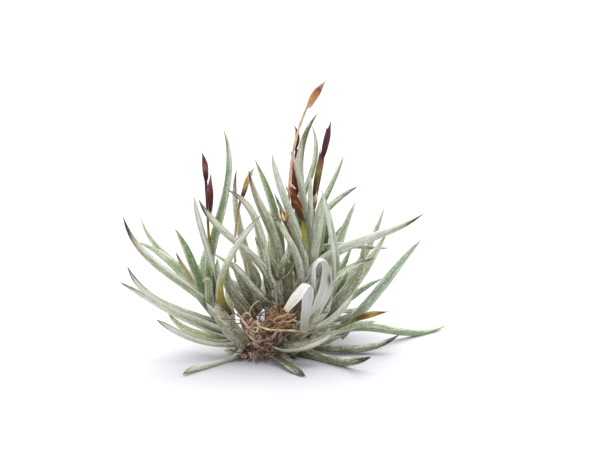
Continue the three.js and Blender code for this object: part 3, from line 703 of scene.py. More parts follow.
# %% Felted leaf
SILVER = "#e6e9dc"
SILVER_SHADE = "#ced3bf"
SPECKLE_WIDTH = 0.42
SPECKLE_CONTRAST = 1.6
ROW_WIDTH, ROW_LENGTH = 0.42, 5
ROW_CONTRAST = 2.2
PATCHES_PER_MM = 0.35
FELT_DEPTH = 0.12

felted_leaf = new_material("felted_leaf")
strand = add_node(felted_leaf, "ShaderNodeAttribute", {}, attribute_name="strand").outputs["Vector"]
tint = add_node(felted_leaf, "ShaderNodeAttribute", {}, attribute_name="tint").outputs["Vector"]
felt = add_node(felted_leaf, "ShaderNodeAttribute", {}, attribute_name="felt").outputs["Vector"]
inputs = {"Vector": strand, "Scale": 1 / SPECKLE_WIDTH, "Detail": 1.0}
speckle = add_node(felted_leaf, "ShaderNodeTexNoise", inputs)
inputs = {"Vector": strand, "Scale": (1 / ROW_WIDTH, 1 / ROW_WIDTH, 1 / ROW_LENGTH)}
rows = add_node(felted_leaf, "ShaderNodeMapping", inputs)
rows = add_node(felted_leaf, "ShaderNodeTexNoise", {"Vector": rows, "Scale": 1.0, "Detail": 2.0})
inputs = {0: speckle, 1: SPECKLE_CONTRAST, 2: -0.5 * SPECKLE_CONTRAST}
speckled = add_node(felted_leaf, "ShaderNodeMath", inputs, operation="MULTIPLY_ADD")
inputs = {0: rows, 1: ROW_CONTRAST, 2: speckled}
uneven = add_node(felted_leaf, "ShaderNodeMath", inputs, operation="MULTIPLY_ADD")
inputs = {0: uneven, 1: -0.5 * ROW_CONTRAST}
uneven = add_node(felted_leaf, "ShaderNodeMath", inputs, operation="ADD")
inputs = {0: uneven, 1: felt}
cover = add_node(felted_leaf, "ShaderNodeMath", inputs, operation="ADD", use_clamp=True)
inputs = {"Vector": strand, "Scale": PATCHES_PER_MM, "Detail": 1.0}
patches = add_node(felted_leaf, "ShaderNodeTexNoise", inputs)
inputs = {"Factor": patches, FIRST_COLOR: linear(SILVER), SECOND_COLOR: linear(SILVER_SHADE)}
scales = add_node(felted_leaf, "ShaderNodeMix", inputs, data_type="RGBA").outputs[MIXED_COLOR]
inputs = {"Factor": cover, FIRST_COLOR: tint, SECOND_COLOR: scales}
color = add_node(felted_leaf, "ShaderNodeMix", inputs, data_type="RGBA").outputs[MIXED_COLOR]
inputs = {"Height": cover, "Distance": FELT_DEPTH * MM}
relief = add_node(felted_leaf, "ShaderNodeBump", inputs)
inputs = {
    "Base Color": color, "Normal": relief, "Roughness": 0.85, "IOR": 1.45,
    "Sheen Weight": 0.15, "Sheen Roughness": 0.5,
}
surface = add_node(felted_leaf, "ShaderNodeBsdfPrincipled", inputs)
add_node(felted_leaf, "ShaderNodeOutputMaterial", {"Surface": surface})
print("felted leaf nodes:", len(felted_leaf.node_tree.nodes))

# %% [markdown]
# ### Dry tissues
# Spikes, bleached leaves, roots and rootstock are dead and dry. Their colours are kept with the
# points as well, and what is left to draw is alike in all four: fibres along the strand, and small
# blotches. A material here differs from the next in how wide those are, how much lighter and darker
# they make it, how deep the fibres stand out and how rough the tissue is.

# %% Dry tissues
DRY_TISSUES = {
    "dry_bract": {"fibre": (0.3, 6), "blotch": 1.0, "contrast": 0.4, "depth": 0.1, "rough": 0.5},
    "bleached_leaf": {"fibre": (0.35, 9), "blotch": 1.6, "contrast": 0.1, "depth": 0.12, "rough": 0.7},
    "wiry_root": {"fibre": (0.2, 1.5), "blotch": 1.3, "contrast": 0.45, "depth": 0.05, "rough": 0.5},
    "root_bark": {"fibre": (0.5, 1.2), "blotch": 1.8, "contrast": 0.5, "depth": 0.3, "rough": 0.8},
}
# Two noises together are about 1 and seldom leave this range.
LEAST_NOISE, MOST_NOISE = 0.65, 1.35
dry = {}
for name, tissue in DRY_TISSUES.items():
    material = dry[name] = new_material(name)
    strand = add_node(material, "ShaderNodeAttribute", {}, attribute_name="strand").outputs["Vector"]
    tint = add_node(material, "ShaderNodeAttribute", {}, attribute_name="tint").outputs["Vector"]
    width, length = tissue["fibre"]
    inputs = {"Vector": strand, "Scale": (1 / width, 1 / width, 1 / length)}
    fibres = add_node(material, "ShaderNodeMapping", inputs)
    fibres = add_node(material, "ShaderNodeTexNoise", {"Vector": fibres, "Scale": 1.0, "Detail": 3.0})
    inputs = {"Vector": strand, "Scale": 1 / tissue["blotch"], "Detail": 2.0}
    blotches = add_node(material, "ShaderNodeTexNoise", inputs)
    uneven = add_node(material, "ShaderNodeMath", {0: fibres, 1: blotches}, operation="ADD")
    inputs = {
        "Value": uneven, "From Min": LEAST_NOISE, "From Max": MOST_NOISE,
        "To Min": 1 - tissue["contrast"], "To Max": 1 + tissue["contrast"],
    }
    shade = add_node(material, "ShaderNodeMapRange", inputs)
    color = add_node(material, "ShaderNodeVectorMath", {0: tint, "Scale": shade}, operation="SCALE")
    inputs = {"Height": fibres, "Distance": tissue["depth"] * MM}
    relief = add_node(material, "ShaderNodeBump", inputs)
    inputs = {
        "Base Color": color, "Normal": relief, "Roughness": tissue["rough"], "IOR": 1.45,
        "Specular IOR Level": 0.3,
    }
    surface = add_node(material, "ShaderNodeBsdfPrincipled", inputs)
    add_node(material, "ShaderNodeOutputMaterial", {"Surface": surface})
print("dry tissues:", ", ".join(dry))

# %% [markdown]
# ### Silver scale
# The single scales that stand off a leaf are slim spikes, too small to carry a pattern, so they
# have one colour: that of the felt where it is densest.

# %% Silver scale
silver_scale = new_material("silver_scale")
inputs = {"Base Color": linear(SILVER), "Roughness": 0.7, "IOR": 1.45, "Sheen Weight": 0.2}
surface = add_node(silver_scale, "ShaderNodeBsdfPrincipled", inputs)
add_node(silver_scale, "ShaderNodeOutputMaterial", {"Surface": surface})
print("scales:", SILVER)

# %% [markdown]
# ## Leaves
# A leaf wraps its stem at the foot, is a channel along its lower half and turns into a round, pointed
# awl towards its tip. Its width falls slowly, then fast near the point. The section below follows
# the solid model's, but has a deeper channel, a thinner, rounded rim and a fuller end.

# %% Leaf section
FOOT_SWELL = 0.3
FOOT_REACH = 0.12
FOOT_WRAP = 0.5
LEAF_TAPER = {"even": 0.22, "late": 0.74, "power": 4.6}
LEAF_POINT = 0.07
LEAF_WAVE = 0.035
ROUND_FROM, ROUND_OVER = 0.35, 0.55
# How thick a leaf is for its half width: as a channel, and as an awl.
CHANNEL = {"rim": 0.42, "keel": 0.62, "floor": 0.18}
AWL = 0.92


def leaf_half(width, t):
    lost = LEAF_TAPER["even"] * t + LEAF_TAPER["late"] * t ** LEAF_TAPER["power"]
    share = 1 - lost + FOOT_SWELL * np.exp(-((t / FOOT_REACH) ** 2))
    return np.maximum(LEAF_POINT, width / 2 * share)


def leaf_section(width, phase, pace):
    """How far across and through a leaf its points lie, in mm. The channel opens towards +through."""

    def section(t, x, y):
        half = leaf_half(width, t) * (1 + LEAF_WAVE * np.sin(phase + pace * t))
        rounder = np.clip((t - ROUND_FROM) / ROUND_OVER, 0, 1)
        wrap = CHANNEL["rim"] * (1 - rounder) + FOOT_WRAP * np.exp(-((t / FOOT_REACH) ** 2))
        outer = -CHANNEL["keel"] * (1 - rounder) - AWL * rounder
        inner = -CHANNEL["floor"] * (1 - rounder) + AWL * rounder
        through = np.where(y < 0, outer, inner) * np.abs(y) + wrap * x**2
        return half * x, half * through

    return section


print("a leaf 3.6 mm wide is", round(float(leaf_half(3.6, 0.5)) * 2, 2), "mm wide halfway")

# %% [markdown]
# ### Colours of a leaf
# Under the scales a leaf is green, or straw-coloured where it has dried, with a yellow foot on a few. Its
# back is tinted a little towards straw, as painted shade of the underside. The tip dies back first: it
# fades to brown, then to nearly black, and its rims curl over and stay pale, unless the look names another
# colour. At the feet of the leaves and deep inside the clump the felt is thinner and the tint darker and
# browner: partly the stain of old felt, partly painted shade where the clump shades itself. The scales are
# dense along the rims, thin in the channel, and wear off where the tip dies.

# %% Leaf colours
LOOK_SEED = 101
LEAF_PACE = (5, 9)
# The last of these three is a brown for old stain and for painted shade, at the leaves' feet and in the
# heart of the clump.
STRAW, YELLOW, STAIN_AND_SHADE_BROWN = "#aa9d78", "#a89a3c", "#574b30"
FADED, CURLED_RIM, TIP_DARK = "#a58a68", "#d9ccb0", "#2e2428"
# Near the clump's heart and at each leaf's foot: partly stain of old felt, partly painted shade where the
# clump shades itself.
SHADE_AND_STAIN_HEART = {"centre": (1, 0, 12), "radii": (15, 13, 19), "share": 0.75}
SHADE_AND_STAIN_FOOT = {"reach": 0.16, "share": 0.7}
YELLOW_FOOT = {"share": 1.7, "loss": 3}
# Where along a leaf each stage of dying begins, and over how much of the leaf it comes to its full.
STAGES = {"rim": (0.8, 0.1), "faded": (0.84, 0.1), "worn": (0.86, 0.14), "dead": (0.95, 0.06)}
# The darker a look's tip, the sooner all stages begin. Their fronts are wavy across the leaf.
SOONER, WAVY, WAVES = 0.11, 0.03, 7
# Every tip is a little dead, and the rims are spared half of it.
ALWAYS_DEAD, RIM_SPARED = 0.1, 0.5
LEAF_SHADE = (0.85, 0.3)
MIDDLE_SHADE = 0.12
# The outer face of every leaf is tinted towards straw: painted shade of its underside.
SHADED_BACK = 0.2
# How dense the scales lie on a plain leaf, and what is added for each share of something else.
FELT = {
    "plain": 0.72, "rim": 0.5, "bare": -0.55, "middle": -0.28, "tan": -0.1, "dead": -0.75,
    "stain_shade": -0.45, "yellow": -0.6,
}


def mixed(a, b, share):
    """Colours from a to b, as linear values, by each point's share."""
    return a + (b - a) * np.clip(share, 0, 1)[:, None]


def leaf_colors(blank, strand, look, draw):
    """Each point's tint under the scales, and how dense the scales lie there."""
    x, y, t = blank["places"].T
    dark = look["dark"]
    # Painted shade and stain: how deep in the clump, and how near its foot, each point lies.
    away = (strand["places"] - SHADE_AND_STAIN_HEART["centre"]) / SHADE_AND_STAIN_HEART["radii"]
    inside = SHADE_AND_STAIN_HEART["share"] * np.exp(-(away**2).sum(axis=1))
    old = np.clip(SHADE_AND_STAIN_FOOT["share"] * np.exp(-((t / SHADE_AND_STAIN_FOOT["reach"]) ** 2)) + inside, 0, 1)
    yellowed = np.clip(look["yellow"] * (YELLOW_FOOT["share"] - YELLOW_FOOT["loss"] * t), 0, 1)
    end = t + SOONER * dark + WAVY * np.sin(WAVES * x + within(ANY_PHASE, draw))
    rim, faded, worn, dead = ((end - start) / over for start, over in STAGES.values())
    tint = rgb(look["leaf"]) * within(LEAF_SHADE, draw) * (1 - MIDDLE_SHADE * (1 - x**2))[:, None]
    # Painted shade: the outer face is tinted towards straw.
    tint = mixed(tint, rgb(STRAW), look["tan"] + SHADED_BACK * (y < 0))
    tint = mixed(tint, rgb(YELLOW), yellowed)
    # Stain and painted shade at the foot and deep in the clump.
    tint = mixed(tint, rgb(STAIN_AND_SHADE_BROWN), old)
    tint = mixed(tint, rgb(look.get("tip", FADED)), dark * faded)
    tint = mixed(tint, rgb(look.get("rim", CURLED_RIM)), dark * rim * x**4)
    dead = (dark + ALWAYS_DEAD) * dead * (1 - RIM_SPARED * x**4)
    tint = mixed(tint, rgb(look.get("tip", TIP_DARK)), dead)
    felt = FELT["plain"] + FELT["rim"] * x**6 + FELT["middle"] * (1 - x**2) * (0.4 + 0.6 * (y > 0))
    felt += FELT["bare"] * look["bare"] + FELT["tan"] * look["tan"]
    felt += FELT["dead"] * np.clip(dark * worn, 0, 1)
    # The felt is thinner there too: stain and painted shade.
    felt += FELT["stain_shade"] * old + FELT["yellow"] * yellowed
    return {**strand, "tint": tint, "felt": np.repeat(felt[:, None], 3, axis=1)}


def leaf_strand(leaf, number):
    draw = draws(number + LOOK_SEED)
    section = leaf_section(leaf["width"], within(ANY_PHASE, draw), within(LEAF_PACE, draw))
    strand = laid_out(leaf_blank, cubic_line(leaf["curve"]), leaf["inner"], section, number)
    return leaf_colors(leaf_blank, strand, LOOKS[leaf["look"]], draw)


print("felt on a plain leaf:", FELT["plain"])

# %% [markdown]
# ### Stems and their sheaths
# The stem itself hardly shows: the feet of old leaves wrap it all round. A felted rod carries the
# leaves, and short dry leaf feet lie on it like roof tiles, each turned by the golden angle from the
# last. Then each leafy stem becomes one piece, in the place of its solid.

# %% Stems and sheaths
STEM_RADIUS = 2.5
# A bare stem's share of that radius, and how far about its end the one turns into the other.
BARE_STEM, BARE_END = 0.66, 0.05
STEM_TAPER = 0.35
STEM_LUMPS = 0.05
GOLDEN_ANGLE = math.radians(137.5)
SHEATHS = 18
SHEATHED_TO = 0.8
SHEATH_LENGTH, SHEATH_LENGTHS = 7.5, (0.75, 0.5)
SHEATH_WIDTH, SHEATH_WIDTHS = 4.2, (0.8, 0.3)
SHEATH_THICKNESS, SHEATH_CHANNEL = 0.1, 0.5
SHEATH_TAPER = {"loss": 0.97, "power": 1.6}
SHEATH_SINK = 0.94
# How far off the stem, and how far up it, the four points of a sheath lie.
SHEATH_STEPS = ((0.7, 0), (1, 0.3), (1.02, 0.65), (0.96, 1))
VIEWER = (0.3, -1, 0.2)


def stem_line(stem):
    def line(t):
        found = [on_stem(stem, share) for share in t]
        return np.array([point for point, _ in found]), np.array([rise for _, rise in found])

    return line


def stem_strand(stem, bare, number):
    def section(t, x, y):
        radius = STEM_RADIUS * np.where(t < bare, BARE_STEM, 1 - STEM_TAPER * t**3)
        radius = radius * (1 + STEM_LUMPS * np.sin(9 * t + 3 * x))
        return radius * x, radius * y

    strand = laid_out(stalk_blank, stem_line(stem), VIEWER, section, number)
    return leaf_colors(stalk_blank, strand, LOOKS["stem"], draws(number))


def around(way, angle):
    """The direction square to a way, at an angle round it from the viewer's left."""
    side = unit(np.cross(way, VIEWER))
    return side * math.cos(angle) + np.cross(way, side) * math.sin(angle)


def sheath_strand(stem, bare, order, number):
    draw = draws(number * 31 + order)
    share = bare / 2 + (SHEATHED_TO - bare / 2) * order / SHEATHS
    foot, rise = on_stem(stem, share)
    out = around(rise, GOLDEN_ANGLE * order + draw())
    length = SHEATH_LENGTH * within(SHEATH_LENGTHS, draw)
    wider = np.interp(share, [bare - BARE_END, bare + BARE_END], [BARE_STEM, 1])
    reach = STEM_RADIUS * wider * SHEATH_SINK
    points = [foot + out * reach * away + rise * length * up for away, up in SHEATH_STEPS]
    width = SHEATH_WIDTH * within(SHEATH_WIDTHS, draw)

    def section(t, x, y):
        half = width / 2 * (1 - SHEATH_TAPER["loss"] * t ** SHEATH_TAPER["power"])
        return half * x, -SHEATH_THICKNESS * y * (1.1 - t) - SHEATH_CHANNEL * half * x**2

    strand = laid_out(leaf_blank, cubic_line(curve_through(points)), out, section, number + order)
    return leaf_colors(leaf_blank, strand, LOOKS["sheath"], draw)


for number, (name, stem) in enumerate(ROSETTES.items()):
    strands = [leaf_strand(leaf, i) for i, leaf in enumerate(leaves) if leaf["stem"] == name]
    strands.append(stem_strand(stem["stem"], stem["bare"], number))
    strands += [sheath_strand(stem["stem"], stem["bare"], k, number) for k in range(SHEATHS)]
    piece = joined(name.replace("rosette", "leafy"), strands, felted_leaf)
    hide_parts(name)

# %% [markdown]
# ### Standing scales
# Up close the leaves look furry: the scales stand off the surface by up to half a millimetre and
# light up along the edges. Each is drawn as one slim spike of three faces, larger than life.

# %% Standing scales
SCALE_SEED = 500
SCALES_PER_MM = 14
SCALE_LENGTH = (0.2, 0.3)
SCALE_HALF = 0.035
SCALE_ROOT = 0.06
SCALED_SPAN = (0.06, 0.95)
# Scales point away from a line that lies so far, in mm, on the channel's side of the leaf's path.
SCALE_CORE = 0.1
LENGTH_SAMPLES = 9
# How far a scale leans towards the leaf's tip, at least and at most, and how far it strays.
SCALE_LAY, SCALE_STRAY = (0.2, 1.3), 0.35
THIRDS = (0, math.radians(120), math.radians(240))
SPIKE_FACES = np.array([[0, 1, 3], [1, 2, 3], [2, 0, 3]])


def scales_of(leaf, number):
    """All scales of one leaf as one strand."""
    draw = np.random.default_rng(number + SCALE_SEED)
    points, _ = along_curve(leaf["curve"], np.linspace(0, 1, LENGTH_SAMPLES))
    length = np.linalg.norm(np.diff(points, axis=0), axis=1).sum()
    count = int(length * SCALES_PER_MM)
    t = np.sort(draw.uniform(*SCALED_SPAN, count))
    turn = draw.uniform(0, 2 * math.pi, count)
    points, ways = along_curve(leaf["curve"], t)
    sides, faces = frames_along(ways, np.array(leaf["inner"], float))
    across, through = leaf_section(leaf["width"], 0, 0)(t, np.cos(turn), np.sin(turn))
    feet = points + sides * across[:, None] + faces * through[:, None]
    lay = units(sides * across[:, None] + faces * (through[:, None] - SCALE_CORE))
    bent = ways * draw.uniform(*SCALE_LAY, (count, 1)) + draw.normal(0, SCALE_STRAY, (count, 3))
    lay = units(lay + bent)
    reach = SCALE_LENGTH[0] + SCALE_LENGTH[1] * draw.random((count, 1))
    flat = units(np.cross(lay, ways))
    deep = np.cross(lay, flat)
    rims = [SCALE_HALF * (flat * math.cos(a) + deep * math.sin(a)) - lay * SCALE_ROOT for a in THIRDS]
    places = np.stack([feet + rims[0], feet + rims[1], feet + rims[2], feet + lay * reach], axis=1)
    places = places.reshape(-1, 3)
    places[:, 2] = np.maximum(places[:, 2], LOWEST_POINT)
    triangles = (4 * np.arange(count)[:, None, None] + SPIKE_FACES).reshape(-1, 3)
    return {"places": places, "faces": triangles.tolist()}


for name in ROSETTES:
    strands = [scales_of(leaf, i) for i, leaf in enumerate(leaves) if leaf["stem"] == name]
    joined(name.replace("rosette", "scales"), strands, silver_scale)

# %% [markdown]
# ## Dried flower spikes
# Each spike is a thin wiry stalk that ends in one or more pods: spindles wrapped by three papery
# bracts, whose edges wind slowly round. They have dried from plum and red-brown to tan, and near the
# stalk some are still olive. A path is four points in millimetres, and the colours run along it from
# its foot to its tip. A flare says how far a pod's loose bracts stand off it, in pod radii. The
# spikes on the left come first: a dark purple one, and an ochre one farther back.

# %% Spikes on the left
BRACT_FLARE = 0.9
PAPERY_RIM = "#dcc3a2"
SPIKES = {}


def pod_at(path, radius, *colors, flare=BRACT_FLARE, rim=PAPERY_RIM):
    return {"path": path, "radius": radius, "colors": colors, "flare": flare, "rim": rim}


def add_spike(name, slot, stalk, stalk_colors, *pods):
    SPIKES[name] = {"slot": slot, "stalk": stalk, "stalk_colors": stalk_colors, "pods": pods}


add_spike(
    "spike_left", "spike_purple",
    [[-14, -5, 20], [-15.2, -2.6, 32], [-15.7, -2, 43], [-16, -2.5, 52]],
    ["#8d8a5c", "#b5a63c", "#5a4022", "#33202a"],
    pod_at([[-15.5, -2.2, 40.5], [-15, -2.6, 45], [-14.8, -2.8, 49], [-14.4, -3, 53.8]], 0.98,
           "#3c2c10", "#38200f", "#42220f", "#5a2620", "#74363a", "#84484e", "#9b8288"),
    pod_at([[-16, -2.5, 51], [-16, -2.5, 53.5], [-16.2, -2.6, 56.2], [-17, -3, 59.6]], 0.85,
           "#1e0e12", "#34181a", "#8a5c48", "#74343a", "#64303a", "#8a6a70", rim="#8a5c58"),
)
add_spike(
    "spike_ochre", "spike_tan",
    [[-8.5, 8, 25], [-8.5, 7, 32], [-7.8, 6, 38.5], [-6.6, 6, 44.5]],
    ["#cdb994", "#d6c09a", "#cfae7c", "#4a3226"],
    pod_at([[-6.7, 6, 43.5], [-5.5, 6, 47], [-4.2, 6, 51], [-2, 6, 53.6]], 0.74,
           "#1a100c", "#2c1a12", "#c0965c", "#cca670", "#d8b68a", "#e4d2b4"),
)
print("spikes so far:", ", ".join(SPIKES))

# %% [markdown]
# ### Spikes in the middle
# The tallest spike carries one orange-brown pod that has faded to grey at its tip. Behind its stalk
# stands a dark one with two slim pods. In front, a red-brown pod sits on an olive one, and two pale
# shreds of its bracts curl at its tip.

# %% Spikes in the middle
add_spike(
    "spike_tall", "spike_tan",
    [[7.4, 3, 27], [7, 1, 45], [8.8, -1, 62], [12.2, -1, 72]],
    ["#a87f50", "#cda07c", "#ddbd9c", "#c9ab78"],
    pod_at([[12.1, -1, 71.3], [13.5, -1, 73.8], [15.2, -1, 76.4], [17.3, -1, 79]], 1.06,
           "#c8a680", "#bd8a5c", "#b67c4c", "#ac6c42", "#8c5444", "#a08c74", "#b0a490"),
)
add_spike(
    "spike_behind", "spike_purple",
    [[8.6, 4.5, 28], [8, 4.2, 40], [8, 3.6, 50], [9.2, 3, 59]],
    ["#7a5a3a", "#7a4a30", "#5c3222", "#4a281c"],
    pod_at([[8, 4, 44], [8.9, 3.6, 48.5], [8.6, 3.2, 53], [7.6, 2.8, 57.8]], 1.0,
           "#4f3a1a", "#643016", "#6c281c", "#702c20", "#94543c"),
    pod_at([[8.7, 3, 58.6], [9.2, 2.8, 60.8], [9.3, 2.6, 63.2], [8.4, 2.4, 66]], 0.66,
           "#1c0e06", "#34180a", "#5a2810", "#522018", "#64342c"),
)
add_spike(
    "spike_red", "spike_red_brown",
    [[12.5, 2, 27], [12.3, 0, 30], [12, -1.4, 33], [11.4, -2, 39.4]],
    ["#8d9878", "#929a6c", "#a0a04c", "#7a6a28"],
    pod_at([[12, -0.4, 31], [11.4, -1.2, 34.6], [11, -1.7, 38], [10.2, -2.2, 42.2]], 0.8,
           "#8e9a78", "#98a060", "#9a9a40", "#88782c", "#583c14"),
    pod_at([[10.9, -2.2, 40], [9.5, -2.9, 43.8], [8.2, -3.5, 47.2], [6.9, -4, 50.7]], 1.2,
           "#4c3a0c", "#3c2808", "#56300c", "#703412", "#6a2a14", "#7c402a", "#c9a086", flare=1.3),
    pod_at([[8.9, -4.3, 49.2], [8.3, -4.5, 49.9], [7.7, -4.5, 50.6], [7.1, -4.3, 51.2]], 0.22,
           "#c89880", "#ecccb4", "#e4bca4", "#f0d8c4"),
    pod_at([[7.8, -4.5, 47.6], [7.1, -4.7, 48.6], [6.5, -4.7, 49.6], [6.2, -4.5, 50.6]], 0.3,
           "#6c3424", "#b88468", "#e0b8a0", "#7c4834"),
)
print("spikes so far:", ", ".join(SPIKES))

# %% [markdown]
# ### Spikes on the right
# A dark spike leans right, with two long pods and a papery one at their foot. Farther left and in
# front, a spent spike has broken up into five short shreds with curling bracts. The last one lies
# low among the leaves at the right and changes from olive to red-brown.

# %% Spikes on the right
add_spike(
    "spike_dark", "spike_purple",
    [[13.3, 4, 27], [13.6, 4, 35], [13.9, 3.4, 41], [14.3, 3, 48]],
    ["#8a8258", "#8a7c4c", "#6a5232", "#4c3424"],
    pod_at([[14.1, 3, 43.5], [15.1, 3, 51.5], [16.3, 2.4, 57.5], [17.2, 2, 63]], 0.98,
           "#34220e", "#3c2a10", "#5c4520", "#8a763c", "#703c38", "#602c38", "#4c2028"),
    pod_at([[16.3, 2, 56.8], [17.1, 2, 60.3], [17.9, 2, 63.8], [18.7, 2, 67.4]], 0.9,
           "#301416", "#44201f", "#50262a", "#60303a", "#6a4058", rim="#5a3038"),
    pod_at([[14, 2.6, 41.6], [14.1, 2.4, 43.4], [14.4, 2.2, 45.2], [14.9, 2, 47.4]], 0.7,
           "#8c7a4c", "#6a5028", "#c8b48c", "#e0cfae", flare=1.6),
)
add_spike(
    "spike_spent", "spike_spent",
    [[10.5, 1, 27], [8.8, -3, 32.5], [7.3, -5, 37], [5.4, -6, 41]],
    ["#8c8a3c", "#8a7a34", "#6a5230", "#4a3426"],
    pod_at([[6.2, -5.7, 40.2], [5.5, -6, 41.8], [4.9, -6.2, 43.4], [4.4, -6.4, 45.2]], 0.66,
           "#2c1a0a", "#38220e", "#3c2612", "#6c5232", "#c0a078", flare=1.2),
    pod_at([[5.6, -6.2, 40.6], [5, -6.6, 41.4], [4.5, -6.8, 42.2], [3.9, -6.9, 43.2]], 0.4,
           "#4a3418", "#9c8058", "#d0b890", "#e0ccac", flare=1.1),
    pod_at([[6.2, -6, 40.6], [6.3, -6.4, 41.8], [6.3, -6.5, 43], [6.1, -6.6, 44.2]], 0.5,
           "#4a3c18", "#8a7430", "#a08c44", "#ccb484", flare=1.2),
    pod_at([[5.9, -6.2, 40.6], [5.6, -6.6, 41.6], [5.3, -6.8, 42.6], [5.1, -6.9, 43.7]], 0.32,
           "#6a5434", "#d4bc98", "#ecdcc4", "#d8c4a4", flare=1.1),
    pod_at([[6.3, -6, 40.2], [6.8, -6.4, 41.2], [7.1, -6.5, 42.2], [7, -6.6, 43.2]], 0.34,
           "#34220e", "#5c4424", "#a8906c", "#e4d4b8", flare=1.1),
)
add_spike(
    "spike_low", "spike_olive",
    [[19.5, 3.2, 5.6], [21, 2, 7.2], [23, 1, 8.4], [25.5, 0, 9.8]],
    ["#71835c", "#7c8c58", "#8f9048", "#8a6a34"],
    pod_at([[24.6, 0.2, 9.3], [28, 0, 11.2], [31.5, -0.4, 12.2], [35.3, -1, 13]], 0.95,
           "#76804c", "#5c4a12", "#743c20", "#7c4024", "#948c34", "#9a923a", "#9c5430", "#74382e",
           "#342030"),
)
print("spikes:", len(SPIKES), "pods:", sum(len(spike["pods"]) for spike in SPIKES.values()))

# %% [markdown]
# ### Stalk and pod
# A stalk is a round blank with a few knots. A pod is a round blank that swells and ends in a beak,
# with three seams where one bract's edge lies on the next.

# %% Sections of a spike
STALK_RADIUS = 0.36
STALK_KNOTS = {"rise": 0.12, "pace": 40}
POD_START = 0.1
POD_BEAK = {"from": 0.6, "loss": 0.45}
POD_POINT = 0.06
BRACT_TWIST = 1.6
BRACT_SEAM = 0.1
BRACT_STEP = 0.06


def stalk_section(t, x, y):
    radius = STALK_RADIUS * (1 + STALK_KNOTS["rise"] * np.sin(STALK_KNOTS["pace"] * t) ** 6)
    return radius * x, radius * y


def pod_section(radius):
    def section(t, x, y):
        swell = np.maximum(0, np.sin(math.pi * (POD_START + (1 - POD_START) * t)))
        beak = 1 - POD_BEAK["loss"] * np.clip((t - POD_BEAK["from"]) / (1 - POD_BEAK["from"]), 0, 1)
        turn = 3 * (np.arctan2(y, x) + BRACT_TWIST * t) / (2 * math.pi)
        seam = 1 - BRACT_SEAM * (0.5 + 0.5 * np.cos(2 * math.pi * turn)) ** 4
        half = np.maximum(POD_POINT, radius * swell * beak * (seam + BRACT_STEP * np.mod(turn, 1)))
        return half * x, half * y

    return section


def dry_strand(blank, line, inner, section, colors, number):
    strand = laid_out(blank, line, inner, section, number)
    return {**strand, "tint": tints_along(colors, blank["places"][:, 2])}


print("a stalk is", 2 * STALK_RADIUS, "mm thick")

# %% [markdown]
# ### Loose bracts
# Two loose bracts clasp each pod: thin curved blades with pale, papery rims. The second one starts
# farther up. On a spent spike they stand off and curl. Stalk, pods and bracts of a spike then become
# one piece, in the place of its solid.

# %% Loose bracts
LOOSE_BRACTS = 2
BRACT_WIDTH = 0.85
BRACT_THICKNESS = 0.07
BRACT_CHANNEL = 0.55
# Of the swelling curve of a blade, which part a bract's outline follows.
BRACT_FROM, BRACT_TO = 0.2, 0.985
BRACT_TURN = 1.3
BRACT_LIFT = (0.5, 0.9, 0.97)
# Where on its pod the first bract's foot and tip lie, and how much farther up those of the next are.
BRACT_FOOT, BRACT_TIP = (0.02, 0.1), (0.6, 0.2)
# A bract has its pod's first colours, one more on the second bract, and its end is pale too.
BRACT_COLORS = 4
RIM_SHARE, RIM_END = 0.55, 0.8


def bract_strand(pod, order, number):
    """A loose bract that clasps the pod's foot and stands off it at its tip."""
    foot, tip = (first + farther * order for first, farther in (BRACT_FOOT, BRACT_TIP))
    points, ways = along_curve(curve_through(pod["path"]), np.linspace(foot, tip, 4))
    out = around(ways[0], GOLDEN_ANGLE * (order * BRACT_TURN + number))
    lift = np.array([*BRACT_LIFT, pod["flare"]])[:, None] * pod["radius"]
    line = cubic_line(curve_through(points + out * lift))

    def section(t, x, y):
        along = np.clip(BRACT_FROM + (1 - BRACT_FROM) * t, 0, BRACT_TO)
        half = pod["radius"] * BRACT_WIDTH * np.sin(along * math.pi) ** 0.7
        return half * x, -BRACT_THICKNESS * y - BRACT_CHANNEL * half * x**2

    strand = dry_strand(leaf_blank, line, out, section, pod["colors"][: BRACT_COLORS + order], number)
    x, _, t = leaf_blank["places"].T
    rim = RIM_SHARE * (x**8 + np.maximum(0, t - RIM_END))
    return {**strand, "tint": mixed(strand["tint"], rgb(pod["rim"]), rim)}


for number, (name, spike) in enumerate(SPIKES.items()):
    line = cubic_line(curve_through(spike["stalk"]))
    strands = [dry_strand(stalk_blank, line, VIEWER, stalk_section, spike["stalk_colors"], number)]
    for k, pod in enumerate(spike["pods"]):
        line = cubic_line(curve_through(pod["path"]))
        section = pod_section(pod["radius"])
        strands.append(dry_strand(pod_blank, line, VIEWER, section, pod["colors"], 10 * number + k))
        strands += [bract_strand(pod, order, number + 3 * k) for order in range(LOOSE_BRACTS)]
    piece = joined("dry_" + name, strands, dry["dry_bract"])
    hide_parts(name)

# %% [markdown]
# ## Bleached leaves
# Two dead leaves have lost all colour and hook over at the top. Without the swollen green tissue only
# the strands of fibre are left, so fine ribs run along them. Such a leaf bends and also twists, so
# each point of its path says which way its inner face looks there. The rear one has a brown spot.
# Real ribs are 0.3 mm apart. Five are drawn across a leaf, up to 0.8 mm apart, so that they show.

